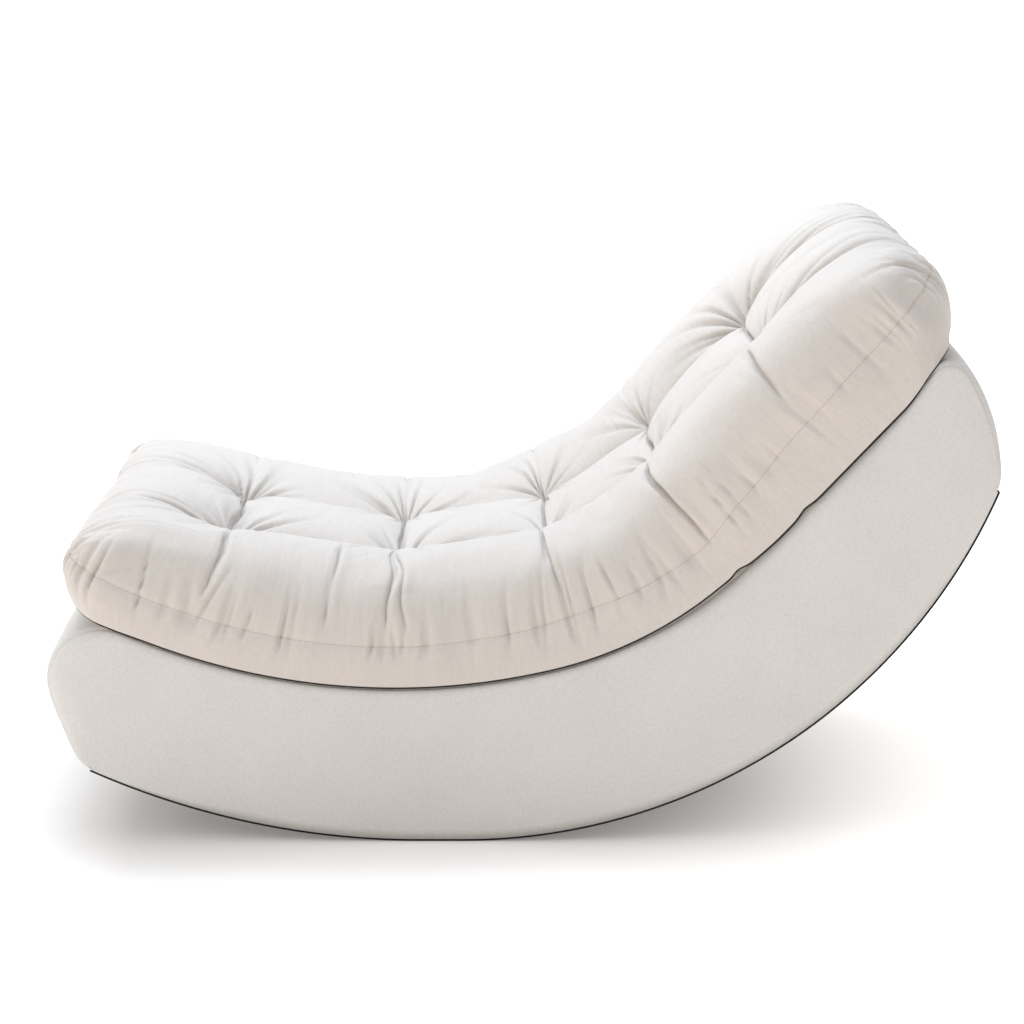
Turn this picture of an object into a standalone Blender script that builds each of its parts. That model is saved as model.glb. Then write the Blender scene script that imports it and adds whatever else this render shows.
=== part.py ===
# Rocking lounge chair: a crescent-shaped upholstered base that rocks on its curved underside,
# and a tufted cushion that lies loose in the hollow of the crescent.
# The foot end is at -X, the head end at +X, the sitter's left side at -Y, the floor at Z = 0.
import bmesh
import bpy
from math import atan2, cos, exp, hypot, pi, radians, sin
from mathutils import Vector
from mathutils.geometry import intersect_line_line_2d

# Overall form of the base
BASE_WIDTH = 0.800
SIDE_ROUND = 0.020
ROCKER_FRONT_RADIUS = 1.100
ROCKER_FRONT_ANGLE = radians(25.45)
ROCKER_REAR_RADIUS = 0.800
ROCKER_REAR_ANGLE = radians(67.3)
REST_FLAT = 0.060

# Deck that carries the cushion: a seat arc, a tighter bend and a straight back
SEAT_HEIGHT = 0.226
SEAT_LOW_AHEAD = 0.063
SEAT_FRONT_LENGTH = 0.516
SEAT_RADIUS = 0.933
SEAT_REAR_ANGLE = radians(14.0)
BEND_RADIUS = 0.546
BACK_ANGLE = radians(47.0)
FRONT_BULGE = 0.028
FRONT_ROUND = 0.080
BACK_BULGE = 0.025
BACK_ROUND = 0.035
LEAST_ROUND = 0.003

# Layers of the base, from the outside in
GAP = 0.0003
COVER = 0.003
WRAP_FOAM = 0.025
SIDE_FOAM = 0.020
STRAP = 0.002
STRAP_WIDTH = 0.050
SOLE = 0.003
SOLE_INSET = 0.003
ROCKER_SKIN = 0.006
ROCKER_SETBACK = 0.016

# Wooden frame
FRAME_BOARD = 0.018
RIB_DROP = 0.025
STRETCHER_SHARE = 0.36
STRETCHER_DROP = 0.032
STRETCHER_FACETS = (4, 8, 12, 16)
RAIL_HEIGHT = 0.090
RAIL_LIFT = 0.012
HOLE_SHARE = 0.20
HOLE_FACETS = (6, 10, 14)

# Ballast in the foot end
BALLAST_WIDTH = 0.058
BALLAST_HEIGHT = 0.067
BALLAST_START = 0.060
BALLAST_SPACING = 0.012
BALLAST_ROWS = 2

# Hook-and-loop strips between deck and cushion
HOOK_STRIP = 0.0018
LOOP_STRIP = 0.0018
STRIP_WIDTH = 0.040
STRIP_LENGTH = 0.560
STRIP_FACETS = (6, 16)

# Cushion, with the boxing's profile as shares of its height, of its side tuck and of its end tuck
CUSHION_OVERHANG = 0.002
CUSHION_FOOT_OVERHANG = 0.002
CUSHION_HEAD_OVERHANG = 0.055
CUSHION_CORNER = 0.100
CUSHION_DRAW_IN = 0.005
CREST_SEAT = 0.155
CREST_BACK = 0.182
SEAM_SEAT = 0.056
SEAM_HEAD = 0.084
SIDE_ROLL = 0.120
ROLL_POWER = 2.3
BOXING = 0.006
BOXING_ROOM = 0.004
BOXING_END_ROOM = 0.016
BOXING_SIDE_TUCK = 0.010
BOXING_END_TUCK = 0.045
BOXING_SHARES = ((1.0, 0.0, 0.0), (0.6, -0.5, -0.04), (0.3, -0.3, 0.27), (0.0, 1.0, 1.0))
UNDERSIDE = 0.002

# Tufts: rows counted from the foot end, with the distance from each row to the next
TUFT_FIRST = 0.224
TUFT_PITCHES = (0.289, 0.253, 0.261, 0.224)
TUFT_LAST = 0.2105
TUFT_COLUMN = 0.133
TUFT_DEPTH = 0.046
TUFT_SPREAD = 0.030
CREASE_DEPTH = 0.018
CREASE_SPREAD = 0.020
TIE_RADIUS = 0.002
KNOT_RADIUS = 0.005
KNOT_HEIGHT = 0.006
KNOT_NECK = 0.0012
TOGGLE_RADIUS = 0.011
TOGGLE_THICKNESS = 0.004
TOGGLE_CLEAR = 0.0009

# How finely curves are divided
ROCKER_FRONT_STEPS = 12
ROCKER_REAR_STEPS = 26
END_STEPS = 6
CORNER_STEPS = 6
PITCH_STEPS = 4
MARGIN_STEPS = 3
ROLL_STEPS = 4
ACROSS_STEPS = 2
RIM_STEPS = 4
HOLE_STEPS = 20
TURN_STEPS = 8
TURN_START = radians(10)
RUN_OUT = 0.300
WELD = 0.00001


# Plane geometry, on points (x, z) of the side view

def left_normal(start, end):
    along = (end - start).normalized()
    return Vector((-along.y, along.x))


def mitres(path):
    # At each point, the step to the left that shifts both neighbouring edges by one.
    sides = [left_normal(a, b) for a, b in zip(path, path[1:])]
    steps = []
    for before, after in zip(sides[:1] + sides, sides + sides[-1:]):
        middle = (before + after).normalized()
        steps.append(middle / middle.dot(before))
    return steps


def offset_path(path, distance):
    return [point + step * distance for point, step in zip(path, mitres(path))]


def run_on(path):
    # The path with a straight piece added at both ends.
    first = path[0] + (path[0] - path[1]).normalized() * RUN_OUT
    last = path[-1] + (path[-1] - path[-2]).normalized() * RUN_OUT
    return [first] + path + [last]


def crossings(first, second):
    found = []
    for i, (a, b) in enumerate(zip(first, first[1:])):
        for j, (c, d) in enumerate(zip(second, second[1:])):
            point = intersect_line_line_2d(a, b, c, d)
            if point is not None:
                found.append((i, j, point))
    return found


def arc(centre, radius, start, end, steps):
    # Angles are measured from straight down, towards +X.
    angles = [start + (end - start) * k / steps for k in range(steps + 1)]
    return [centre + Vector((sin(a), -cos(a))) * radius for a in angles]


def bulged(start, end, bulge, steps):
    # An arc from start to end that stands out to the left of the straight line by the bulge.
    chord = (end - start).length
    radius = chord * chord / (8 * bulge) + bulge / 2
    outward = left_normal(start, end)
    centre = (start + end) / 2 + outward * (bulge - radius)
    first = start - centre
    last = end - centre
    angle = atan2(first.y, first.x)
    sweep = first.angle_signed(last)
    turned = [angle - sweep * k / steps for k in range(steps + 1)]
    return [centre + Vector((cos(a), sin(a))) * radius for a in turned]


def round_corner(first, second, radius, steps):
    # Joins two paths that turn right where they meet with an arc that touches both.
    i, j, centre = crossings(offset_path(first, -radius), offset_path(second, -radius))[-1]
    start = left_normal(first[i], first[i + 1])
    end = left_normal(second[j], second[j + 1])
    angle = atan2(start.y, start.x)
    sweep = start.angle_signed(end)
    turned = [angle - sweep * k / steps for k in range(steps + 1)]
    bend = [centre + Vector((cos(a), sin(a))) * radius for a in turned]
    return first[:i + 1] + bend + second[j + 1:]


def point_along(path, distance):
    for a, b in zip(path, path[1:]):
        step = (b - a).length
        if distance <= step:
            return a.lerp(b, distance / step)
        distance -= step
    return path[-1]


def circle(centre, radius):
    return arc(centre, radius, 0, 2 * pi, HOLE_STEPS)[:-1]


# Deck line: length s is measured from the lowest point of the seat, towards the head

TUFT_SPAN = sum(TUFT_PITCHES)
BEND_START = SEAT_RADIUS * SEAT_REAR_ANGLE
BEND_END = BEND_START + BEND_RADIUS * (BACK_ANGLE - SEAT_REAR_ANGLE)
DECK_FRONT = -SEAT_FRONT_LENGTH
FIRST_ROW = DECK_FRONT + TUFT_FIRST
DECK_BACK = FIRST_ROW + TUFT_SPAN + TUFT_LAST


def deck_angle(s):
    if s < BEND_START:
        return s / SEAT_RADIUS
    return min(SEAT_REAR_ANGLE + (s - BEND_START) / BEND_RADIUS, BACK_ANGLE)


def deck_raw(s):
    low = Vector((-SEAT_LOW_AHEAD, SEAT_HEIGHT + SEAT_RADIUS))
    angle = deck_angle(s)
    if s < BEND_START:
        return low + Vector((sin(angle), -cos(angle))) * SEAT_RADIUS
    turn = Vector((sin(SEAT_REAR_ANGLE), -cos(SEAT_REAR_ANGLE)))
    bend = low + turn * (SEAT_RADIUS - BEND_RADIUS)
    place = bend + Vector((sin(angle), -cos(angle))) * BEND_RADIUS
    straight = max(s - BEND_END, 0)
    return place + Vector((cos(angle), sin(angle))) * straight


def tuft_rows():
    rows = [FIRST_ROW]
    for pitch in TUFT_PITCHES:
        rows.append(rows[-1] + pitch)
    return rows


def spread(start, end, cells):
    return [start + (end - start) * k / cells for k in range(cells)]


def deck_stations():
    rows = tuft_rows()
    stations = spread(DECK_FRONT, rows[0], MARGIN_STEPS)
    for row, following in zip(rows, rows[1:]):
        stations += spread(row, following, PITCH_STEPS)
    return stations + spread(rows[-1], DECK_BACK, MARGIN_STEPS) + [DECK_BACK]


# Outline of the base: the rocker below, the upper line over foot end, deck and back

def rocker_raw():
    front = Vector((-REST_FLAT / 2, ROCKER_FRONT_RADIUS))
    rear = Vector((REST_FLAT / 2, ROCKER_REAR_RADIUS))
    path = arc(front, ROCKER_FRONT_RADIUS, -ROCKER_FRONT_ANGLE, 0, ROCKER_FRONT_STEPS)
    return path + arc(rear, ROCKER_REAR_RADIUS, 0, ROCKER_REAR_ANGLE, ROCKER_REAR_STEPS)


def upper_sides():
    # Foot end, deck and back, still with square corners.
    rocker = rocker_raw()
    deck = [deck_raw(s) for s in deck_stations()]
    front = bulged(rocker[0], deck[0], FRONT_BULGE, END_STEPS)
    back = bulged(deck[-1], rocker[-1], BACK_BULGE, END_STEPS)
    return front, deck, back


def upper_line(depth):
    # The upper line at a depth under the cover's outside, with its corners rounded to match.
    front, deck, back = (offset_path(side, -depth) for side in upper_sides())
    path = round_corner(front, deck, max(FRONT_ROUND - depth, LEAST_ROUND), CORNER_STEPS)
    return round_corner(path, back, max(BACK_ROUND - depth, LEAST_ROUND), CORNER_STEPS)


def middle_shift():
    reach = [point.x for point in upper_line(0) + rocker_raw()]
    return Vector((-(min(reach) + max(reach)) / 2, 0))


SHIFT = middle_shift()
DECK = [deck_raw(s) + SHIFT for s in deck_stations()]


def shifted(path):
    return [point + SHIFT for point in run_on(path)]


def upper_run(depth, lift):
    # The upper line at a depth, ended at a lift above the rocker line.
    upper = shifted(upper_line(depth))
    lower = shifted(offset_path(rocker_raw(), lift))
    ends = crossings(upper, lower)
    first, _, front = ends[0]
    last, _, back = ends[-1]
    return [front] + upper[first + 1:last + 1] + [back]


def lower_run(depth, lift):
    upper = shifted(upper_line(depth))
    lower = shifted(offset_path(rocker_raw(), lift))
    ends = crossings(lower, upper)
    first, _, front = ends[0]
    last, _, back = ends[-1]
    return [front] + lower[first + 1:last + 1] + [back]


def crescent(depth, lift):
    return upper_run(depth, lift) + lower_run(depth, lift)[-2:0:-1]


def upper_band(outer, inner, lift):
    return upper_run(outer, lift) + upper_run(inner, lift)[::-1]


def lower_band(depth, low, high):
    return lower_run(depth, low) + lower_run(depth, high)[::-1]


# Scene, materials and objects

def start_scene():
    for old in list(bpy.data.objects):
        bpy.data.objects.remove(old, do_unlink=True)
    groups = []
    for name in ("rocking_lounge_chair", "cutters"):
        group = bpy.data.collections.new(name)
        bpy.context.scene.collection.children.link(group)
        groups.append(group)
    return groups


PARTS, CUTTERS = start_scene()


def finish(name, colour, roughness, metallic=0.0):
    material = bpy.data.materials.new(name)
    material.use_nodes = True
    shader = material.node_tree.nodes["Principled BSDF"]
    shader.inputs["Base Color"].default_value = (*colour, 1.0)
    shader.inputs["Roughness"].default_value = roughness
    shader.inputs["Metallic"].default_value = metallic
    material.diffuse_color = (*colour, 1.0)
    return material


FELT = finish("base_felt", (0.73, 0.71, 0.68), 0.95)
COTTON = finish("cushion_cotton", (0.80, 0.77, 0.73), 0.90)
LINING = finish("cushion_lining", (0.72, 0.70, 0.67), 0.95)
FOAM = finish("upholstery_foam", (0.80, 0.74, 0.58), 0.95)
PLYWOOD = finish("birch_plywood", (0.62, 0.45, 0.28), 0.65)
TIMBER = finish("pine_timber", (0.66, 0.48, 0.28), 0.70)
BLACK_SOLE = finish("black_sole", (0.012, 0.012, 0.013), 0.80)
WEBBING = finish("elastic_webbing", (0.05, 0.05, 0.06), 0.90)
IRON = finish("cast_iron", (0.08, 0.08, 0.085), 0.60, 0.9)
HOOK_TAPE = finish("hook_tape", (0.60, 0.58, 0.55), 0.80)
LOOP_TAPE = finish("loop_tape", (0.68, 0.66, 0.63), 0.95)
TWINE = finish("tuft_twine", (0.74, 0.71, 0.66), 0.90)


def assembly(name, place):
    empty = bpy.data.objects.new(name, None)
    empty.location = place
    PARTS.objects.link(empty)
    bpy.context.view_layer.update()
    return empty


BASE = assembly("base_assembly", (SHIFT.x, 0, 0))
CUSHION = assembly("cushion_assembly", (SHIFT.x - SEAT_LOW_AHEAD, 0, SEAT_HEIGHT))


def add_piece(name, data, material, parent):
    piece = bpy.data.objects.new(name, data)
    data.materials.append(material)
    PARTS.objects.link(piece)
    piece.parent = parent
    piece.matrix_parent_inverse = parent.matrix_world.inverted()
    return piece


def mesh_from(bm, name):
    mesh = bpy.data.meshes.new(name)
    bm.to_mesh(mesh)
    bm.free()
    return mesh


def outline_piece(name, loops, y_from, y_to, material):
    # A flat outline of the side view, given its thickness across the chair.
    curve = bpy.data.curves.new(name, "CURVE")
    curve.dimensions = "2D"
    curve.fill_mode = "BOTH"
    curve.extrude = (y_to - y_from) / 2
    for loop in loops:
        spline = curve.splines.new("POLY")
        spline.points.add(len(loop) - 1)
        spline.use_cyclic_u = True
        for knot, place in zip(spline.points, loop):
            knot.co = (place.x, place.y, 0, 1)
    piece = add_piece(name, curve, material, BASE)
    piece.rotation_euler.x = pi / 2
    piece.location.y = (y_from + y_to) / 2
    return piece


def board_corners(start, end, thickness, grow=0.0):
    along = (end - start).normalized()
    side = left_normal(start, end)
    near = start - along * grow - side * grow
    far = end + along * grow - side * grow
    rise = side * (thickness + 2 * grow)
    return [near, far, far + rise, near + rise]


def board(name, start, end, thickness, y_from, y_to, material, parent=None):
    # A straight board: one face runs from start to end, the thickness goes to the left of it.
    along = end - start
    middle = (start + end) / 2 + left_normal(start, end) * thickness / 2
    bm = bmesh.new()
    bmesh.ops.create_cube(bm, size=1)
    bmesh.ops.scale(bm, vec=(along.length, y_to - y_from, thickness), verts=bm.verts)
    piece = add_piece(name, mesh_from(bm, name), material, parent or BASE)
    piece.location = (middle.x, (y_from + y_to) / 2, middle.y)
    piece.rotation_euler.y = -atan2(along.y, along.x)
    return piece


# Places across the chair, measured from its middle

COVER_INSIDE = BASE_WIDTH / 2 - COVER
SIDE_FOAM_OUT = COVER_INSIDE - GAP
SIDE_FOAM_IN = SIDE_FOAM_OUT - SIDE_FOAM
FRAME_OUT = SIDE_FOAM_IN - GAP
FRAME_IN = FRAME_OUT - FRAME_BOARD
BAY = FRAME_IN - GAP

# Depths under the upper line, and lifts above the rocker line

FOAM_TOP = COVER + GAP
FOAM_UNDER = FOAM_TOP + WRAP_FOAM
STRAP_TOP = FOAM_UNDER + GAP
FRAME_TOP = STRAP_TOP + STRAP + GAP
SKIN_LOW = SOLE + GAP
SKIN_HIGH = SKIN_LOW + ROCKER_SKIN
FRAME_LOW = SKIN_HIGH + GAP


# Base

def deck_facet(facet, height):
    line = offset_path(DECK, height)
    return line[facet], line[facet + 1]


def facet_strip(facet, height, width):
    start, end = deck_facet(facet, height)
    middle = (start + end) / 2
    half = (end - start).normalized() * width / 2
    return middle - half, middle + half


def frame_depth(facet):
    # The frame under a facet of the deck: middle of its top, way down and depth to the rocker.
    start, end = deck_facet(facet, -FRAME_TOP)
    top = (start + end) / 2
    down = -left_normal(start, end)
    floor = shifted(offset_path(rocker_raw(), FRAME_LOW))
    _, _, foot = crossings([top, top + down * ROCKER_REAR_RADIUS], floor)[0]
    return top, down, (foot - top).length


def stretcher_line(facet):
    start, _ = facet_strip(facet, -FRAME_TOP - STRETCHER_DROP, FRAME_BOARD)
    _, down, depth = frame_depth(facet)
    return start, start + down * depth * STRETCHER_SHARE


def lightening_holes():
    holes = []
    for facet in HOLE_FACETS:
        top, down, depth = frame_depth(facet)
        holes.append(circle(top + down * depth / 2, depth * HOLE_SHARE))
    return holes


def side_tray(name, side, depth, lift, outside, deep, rounding, material, shell):
    # A crescent tray on one side of the base: a flat cheek with a rounded upper rim.
    upper = upper_run(depth, lift)
    ring = crescent(depth, lift)
    bm = bmesh.new()
    cheek = [bm.verts.new((p.x, side * outside, p.y)) for p in ring]
    face = bm.faces.new(cheek)
    grown = bmesh.ops.extrude_face_region(bm, geom=[face], use_keep_orig=True)
    inner = [g for g in grown["geom"] if isinstance(g, bmesh.types.BMVert)]
    bmesh.ops.translate(bm, verts=inner, vec=(0, -side * deep, 0))
    bmesh.ops.recalc_face_normals(bm, faces=bm.faces)
    upper_verts = set(cheek[:len(upper)])
    rim = [e for e in face.edges if set(e.verts) <= upper_verts]
    low_edge = [e for e in face.edges if e not in rim]
    closing = {f for e in low_edge for f in e.link_faces if f is not face}
    if shell:
        inner_set = set(inner)
        cap = [f for f in bm.faces if set(f.verts) <= inner_set]
        bmesh.ops.delete(bm, geom=list(closing) + cap, context="FACES_ONLY")
    bmesh.ops.bevel(bm, geom=rim, offset=rounding, segments=RIM_STEPS, profile=0.5,
                    affect="EDGES", clamp_overlap=True, material=-1)
    loose = [e for e in bm.edges if not e.link_faces]
    bmesh.ops.delete(bm, geom=loose, context="EDGES")
    piece = add_piece(name, mesh_from(bm, name), material, BASE)
    if shell:
        wall = piece.modifiers.new("cloth", "SOLIDIFY")
        wall.thickness = COVER
        wall.offset = -1
        wall.use_even_offset = True
    return piece


def build_frame():
    for name, side in (("side_frame_left", -1), ("side_frame_right", 1)):
        loops = [crescent(FRAME_TOP, FRAME_LOW)] + lightening_holes()
        inner, outer = sorted((side * FRAME_IN, side * FRAME_OUT))
        outline_piece(name, loops, inner, outer, PLYWOOD)
    slots = []
    for count, facet in enumerate(STRETCHER_FACETS, 1):
        start, end = stretcher_line(facet)
        board(f"stretcher_{count}", start, end, FRAME_BOARD, -BAY, BAY, TIMBER)
        slots.append(board_corners(start, end, FRAME_BOARD, GAP))
    loops = [crescent(FRAME_TOP + RIB_DROP, FRAME_LOW)] + lightening_holes() + slots
    outline_piece("centre_rib", loops, -FRAME_BOARD / 2, FRAME_BOARD / 2, PLYWOOD)


def build_rails():
    # A rail lies along the inside of each end, clear of the centre rib.
    front = upper_run(FRAME_TOP, FRAME_LOW)
    back = front[::-1]
    top = RAIL_LIFT + RAIL_HEIGHT
    board("front_rail", point_along(front, top), point_along(front, RAIL_LIFT), FRAME_BOARD,
          -BAY, BAY, TIMBER)
    board("back_rail", point_along(back, RAIL_LIFT), point_along(back, top), FRAME_BOARD,
          -BAY, BAY, TIMBER)


def build_rocker():
    skin = lower_band(ROCKER_SETBACK, SKIN_LOW, SKIN_HIGH)
    outline_piece("rocker_skin", [skin], -SIDE_FOAM_OUT, SIDE_FOAM_OUT, PLYWOOD)
    edge = BASE_WIDTH / 2 - SOLE_INSET
    sole = lower_band(ROCKER_SETBACK, 0, SOLE)
    outline_piece("rocker_sole", [sole], -edge, edge, BLACK_SOLE)


def build_ballast():
    # Cast bars lie on the rocker skin, one in each bay of each row.
    floor = lower_run(FRAME_TOP, FRAME_LOW)
    inner = FRAME_BOARD / 2 + GAP
    for row in range(BALLAST_ROWS):
        begin = BALLAST_START + row * (BALLAST_WIDTH + BALLAST_SPACING)
        start = point_along(floor, begin)
        end = point_along(floor, begin + BALLAST_WIDTH)
        board(f"ballast_bar_left_{row + 1}", start, end, BALLAST_HEIGHT, -BAY, -inner, IRON)
        board(f"ballast_bar_right_{row + 1}", start, end, BALLAST_HEIGHT, inner, BAY, IRON)


def build_deck():
    facets = range(MARGIN_STEPS, len(DECK) - MARGIN_STEPS, 2)
    for count, facet in enumerate(facets, 1):
        start, end = facet_strip(facet, -STRAP_TOP - STRAP, STRAP_WIDTH)
        board(f"webbing_strap_{count}", start, end, STRAP, -FRAME_OUT, FRAME_OUT, WEBBING)
    foam = upper_band(FOAM_TOP, FOAM_UNDER, FRAME_LOW)
    outline_piece("wrap_foam", [foam], -FRAME_OUT, FRAME_OUT, FOAM)


def build_covers():
    for name, side in (("left", -1), ("right", 1)):
        side_tray(f"side_foam_{name}", side, FOAM_TOP, FRAME_LOW, SIDE_FOAM_OUT, SIDE_FOAM,
                  SIDE_ROUND - COVER - GAP, FOAM, shell=False)
        side_tray(f"side_cover_{name}", side, 0, SKIN_LOW, BASE_WIDTH / 2, SIDE_ROUND + GAP,
                  SIDE_ROUND, FELT, shell=True)
    cover = upper_band(0, COVER, SKIN_LOW)
    edge = BASE_WIDTH / 2 - SIDE_ROUND - 2 * GAP
    outline_piece("top_cover", [cover], -edge, edge, FELT)


# Cushion, on flat coordinates s along the deck, y across and h above the deck

LIFT = 3 * GAP + HOOK_STRIP + LOOP_STRIP
FOOT = DECK_FRONT - CUSHION_FOOT_OVERHANG
HEAD = DECK_BACK + CUSHION_HEAD_OVERHANG
FLAT_FRONT = deck_stations()[MARGIN_STEPS - 1]
FLAT_BACK = deck_stations()[-MARGIN_STEPS]
HALF = BASE_WIDTH / 2 + CUSHION_OVERHANG
SIDE_ROOM = BOXING + BOXING_ROOM
END_ROOM = BOXING + BOXING_END_ROOM
TOGGLE_LOW = LIFT + UNDERSIDE + TOGGLE_CLEAR


def roll_lines(edge, inside):
    # Lines that crowd towards a rolled edge.
    angles = [pi / 2 * k / ROLL_STEPS for k in range(ROLL_STEPS)]
    return [edge + (inside - edge) * (1 - cos(a)) for a in angles]


def length_lines():
    flat = [s for s in deck_stations() if FLAT_FRONT <= s <= FLAT_BACK]
    return roll_lines(FOOT, FLAT_FRONT) + flat + roll_lines(HEAD, FLAT_BACK)[::-1]


def width_lines(roll):
    inside = HALF - SIDE_ROLL
    outer = spread(-inside, -TUFT_COLUMN, ACROSS_STEPS)
    middle = spread(-TUFT_COLUMN, 0, ACROSS_STEPS)
    half = (roll_lines(-HALF, -inside) if roll else [-HALF]) + outer + middle
    return half + [0] + [-y for y in half[::-1]]


def ease(value):
    value = min(max(value, 0.0), 1.0)
    return value * value * (3 - 2 * value)


def back_share(s):
    return ease((s - BEND_START) / (FLAT_BACK - BEND_START))


def seam_height(s):
    return SEAM_SEAT + (SEAM_HEAD - SEAM_SEAT) * back_share(s)


def crest_height(s):
    return CREST_SEAT + (CREST_BACK - CREST_SEAT) * back_share(s)


def roll_share(distance, width):
    inside = 1 - min(max(round(distance / width, 4), 0.0), 1.0)
    return (1 - inside ** ROLL_POWER) ** (1 / ROLL_POWER)


def edge_share(s, y):
    along = roll_share(s - FOOT, FLAT_FRONT - FOOT) * roll_share(HEAD - s, HEAD - FLAT_BACK)
    return along * roll_share(HALF - abs(y), SIDE_ROLL)


def tuft_drop(s, y):
    row = min(abs(s - place) for place in tuft_rows())
    column = abs(abs(y) - TUFT_COLUMN)
    pit = TUFT_DEPTH * exp(-(row * row + column * column) / (2 * TUFT_SPREAD ** 2))
    nearest = min(row, column)
    return pit + CREASE_DEPTH * exp(-nearest * nearest / (2 * CREASE_SPREAD ** 2))


def top_height(s, y):
    rise = crest_height(s) - seam_height(s) - tuft_drop(s, y)
    return seam_height(s) + rise * edge_share(s, y)


def rounded_plan(s, y):
    # The plan's square corners are drawn in to arcs, and the long sides to a slight waist.
    over = max(FOOT + CUSHION_CORNER - s, s - HEAD + CUSHION_CORNER, 0.0)
    beside = max(abs(y) - HALF + CUSHION_CORNER, 0.0)
    if over > 0 and beside > 0:
        kept = max(over, beside) / hypot(over, beside)
        y -= (beside - beside * kept) * (1 if y > 0 else -1)
        s += (over - over * kept) * (1 if s < 0 else -1)
    across = (s - FOOT) / (HEAD - FOOT) * 2 - 1
    return s, y * (1 - CUSHION_DRAW_IN / HALF * (1 - across * across))


def bent(s, y, h):
    angle = deck_angle(s)
    place = deck_raw(s) + SHIFT + Vector((-sin(angle), cos(angle))) * h
    return Vector((place.x, y, place.y))


def cushion_point(s, y, h, side_inset=0.0, end_inset=0.0):
    s, y = rounded_plan(s, y)
    if s < FLAT_FRONT:
        s = FLAT_FRONT + (s - FLAT_FRONT) * (1 - end_inset / (FLAT_FRONT - FOOT))
    if s > FLAT_BACK:
        s = FLAT_BACK + (s - FLAT_BACK) * (1 - end_inset / (HEAD - FLAT_BACK))
    return bent(s, y * (1 - side_inset / HALF), h)


def lay_grid(bm, across, level):
    along = length_lines()
    grid = bmesh.ops.create_grid(bm, x_segments=len(along) - 1, y_segments=len(across) - 1, size=1)
    for vert in grid["verts"]:
        column = round((vert.co.x + 1) / 2 * (len(along) - 1))
        row = round((vert.co.y + 1) / 2 * (len(across) - 1))
        vert.co = (along[column], across[row], level)
    return grid["verts"]


def cushion_piece(name, across, rings, shape, material, capped=True):
    # A flat grid, rings of cells hung from its edge and a closing grid, then bent to the cushion.
    # With no rings, the two grids close on each other where their edges meet.
    bm = bmesh.new()
    lay_grid(bm, across, 0)
    top = list(bm.faces)
    edges = [e for e in bm.edges if e.is_boundary]
    for _ in range(rings):
        grown = bmesh.ops.extrude_edge_only(bm, edges=edges)
        fresh = [g for g in grown["geom"] if isinstance(g, bmesh.types.BMVert)]
        bmesh.ops.translate(bm, verts=fresh, vec=(0, 0, -1))
        edges = [e for e in {e for v in fresh for e in v.link_edges} if set(e.verts) <= set(fresh)]
    if capped:
        lay_grid(bm, across, -max(rings, 1))
        bmesh.ops.remove_doubles(bm, verts=bm.verts, dist=WELD)
    else:
        bmesh.ops.delete(bm, geom=top, context="FACES")
    for vert in bm.verts:
        vert.co = shape(vert.co.x, vert.co.y, -round(vert.co.z))
    bmesh.ops.remove_doubles(bm, verts=bm.verts, dist=WELD)
    bmesh.ops.recalc_face_normals(bm, faces=bm.faces)
    return add_piece(name, mesh_from(bm, name), material, CUSHION)


def topper_shape(s, y, level):
    # The rolled top closes on the flat underneath along the seam.
    height = top_height(s, y) if level == 0 else seam_height(s)
    return cushion_point(s, y, height)


def boxing_level(level):
    share, side, end = BOXING_SHARES[level]
    return share, side * BOXING_SIDE_TUCK, end * BOXING_END_TUCK


def boxing_shape(s, y, level):
    share, side, end = boxing_level(level)
    return cushion_point(s, y, LIFT + (seam_height(s) - GAP - LIFT) * share, side, end)


def core_shape(s, y, level):
    share, side, end = boxing_level(level)
    low = LIFT + UNDERSIDE + GAP
    height = low + (seam_height(s) - GAP - low) * share
    return cushion_point(s, y, height, side + SIDE_ROOM, end + END_ROOM)


def underside_shape(s, y, level):
    height = LIFT + UNDERSIDE * (1 - level)
    return cushion_point(s, y, height, BOXING_SIDE_TUCK + SIDE_ROOM, BOXING_END_TUCK + END_ROOM)


def tie_profile(tuft, grow, foot):
    # Outer line of a tie from the knot down to the toggle, as (radius, height) pairs.
    knot = tuft + GAP + KNOT_HEIGHT
    toggle = TOGGLE_LOW + TOGGLE_THICKNESS
    return ((0, knot + grow),
            (KNOT_RADIUS + grow, knot - KNOT_HEIGHT / 2 + grow),
            (KNOT_RADIUS + grow, tuft + GAP + KNOT_NECK - grow),
            (TIE_RADIUS + grow, tuft + GAP - grow),
            (TIE_RADIUS + grow, toggle + grow),
            (TOGGLE_RADIUS + grow, toggle + grow),
            (TOGGLE_RADIUS + grow, foot),
            (0, foot))


def turned(name, profile):
    bm = bmesh.new()
    side = Vector((cos(TURN_START), sin(TURN_START), 0))
    verts = [bm.verts.new(side * radius + Vector((0, 0, height))) for radius, height in profile]
    for a, b in zip(verts, verts[1:]):
        bm.edges.new((a, b))
    return mesh_from(bm, name)


def spin_round(piece):
    screw = piece.modifiers.new("turn", "SCREW")
    screw.steps = TURN_STEPS
    screw.render_steps = TURN_STEPS
    screw.use_merge_vertices = True
    screw.merge_threshold = WELD


def build_ties():
    count = 0
    for s in tuft_rows():
        for side in (-1, 1):
            count += 1
            tuft = top_height(s, side * TUFT_COLUMN)
            name = f"tuft_tie_{count}"
            tie = add_piece(name, turned(name, tie_profile(tuft, 0, TOGGLE_LOW)), TWINE, CUSHION)
            name = f"tie_bore_{count}"
            bore = bpy.data.objects.new(name, turned(name, tie_profile(tuft, GAP, 0)))
            bore.hide_render = True
            bore.display_type = "WIRE"
            CUTTERS.objects.link(bore)
            for piece in (tie, bore):
                piece.location = cushion_point(s, side * TUFT_COLUMN, 0)
                piece.rotation_euler.y = -deck_angle(s)
                spin_round(piece)


def cut_tie_bores(piece):
    cut = piece.modifiers.new("tie_bores", "BOOLEAN")
    cut.operation = "DIFFERENCE"
    cut.operand_type = "COLLECTION"
    cut.collection = CUTTERS


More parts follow.
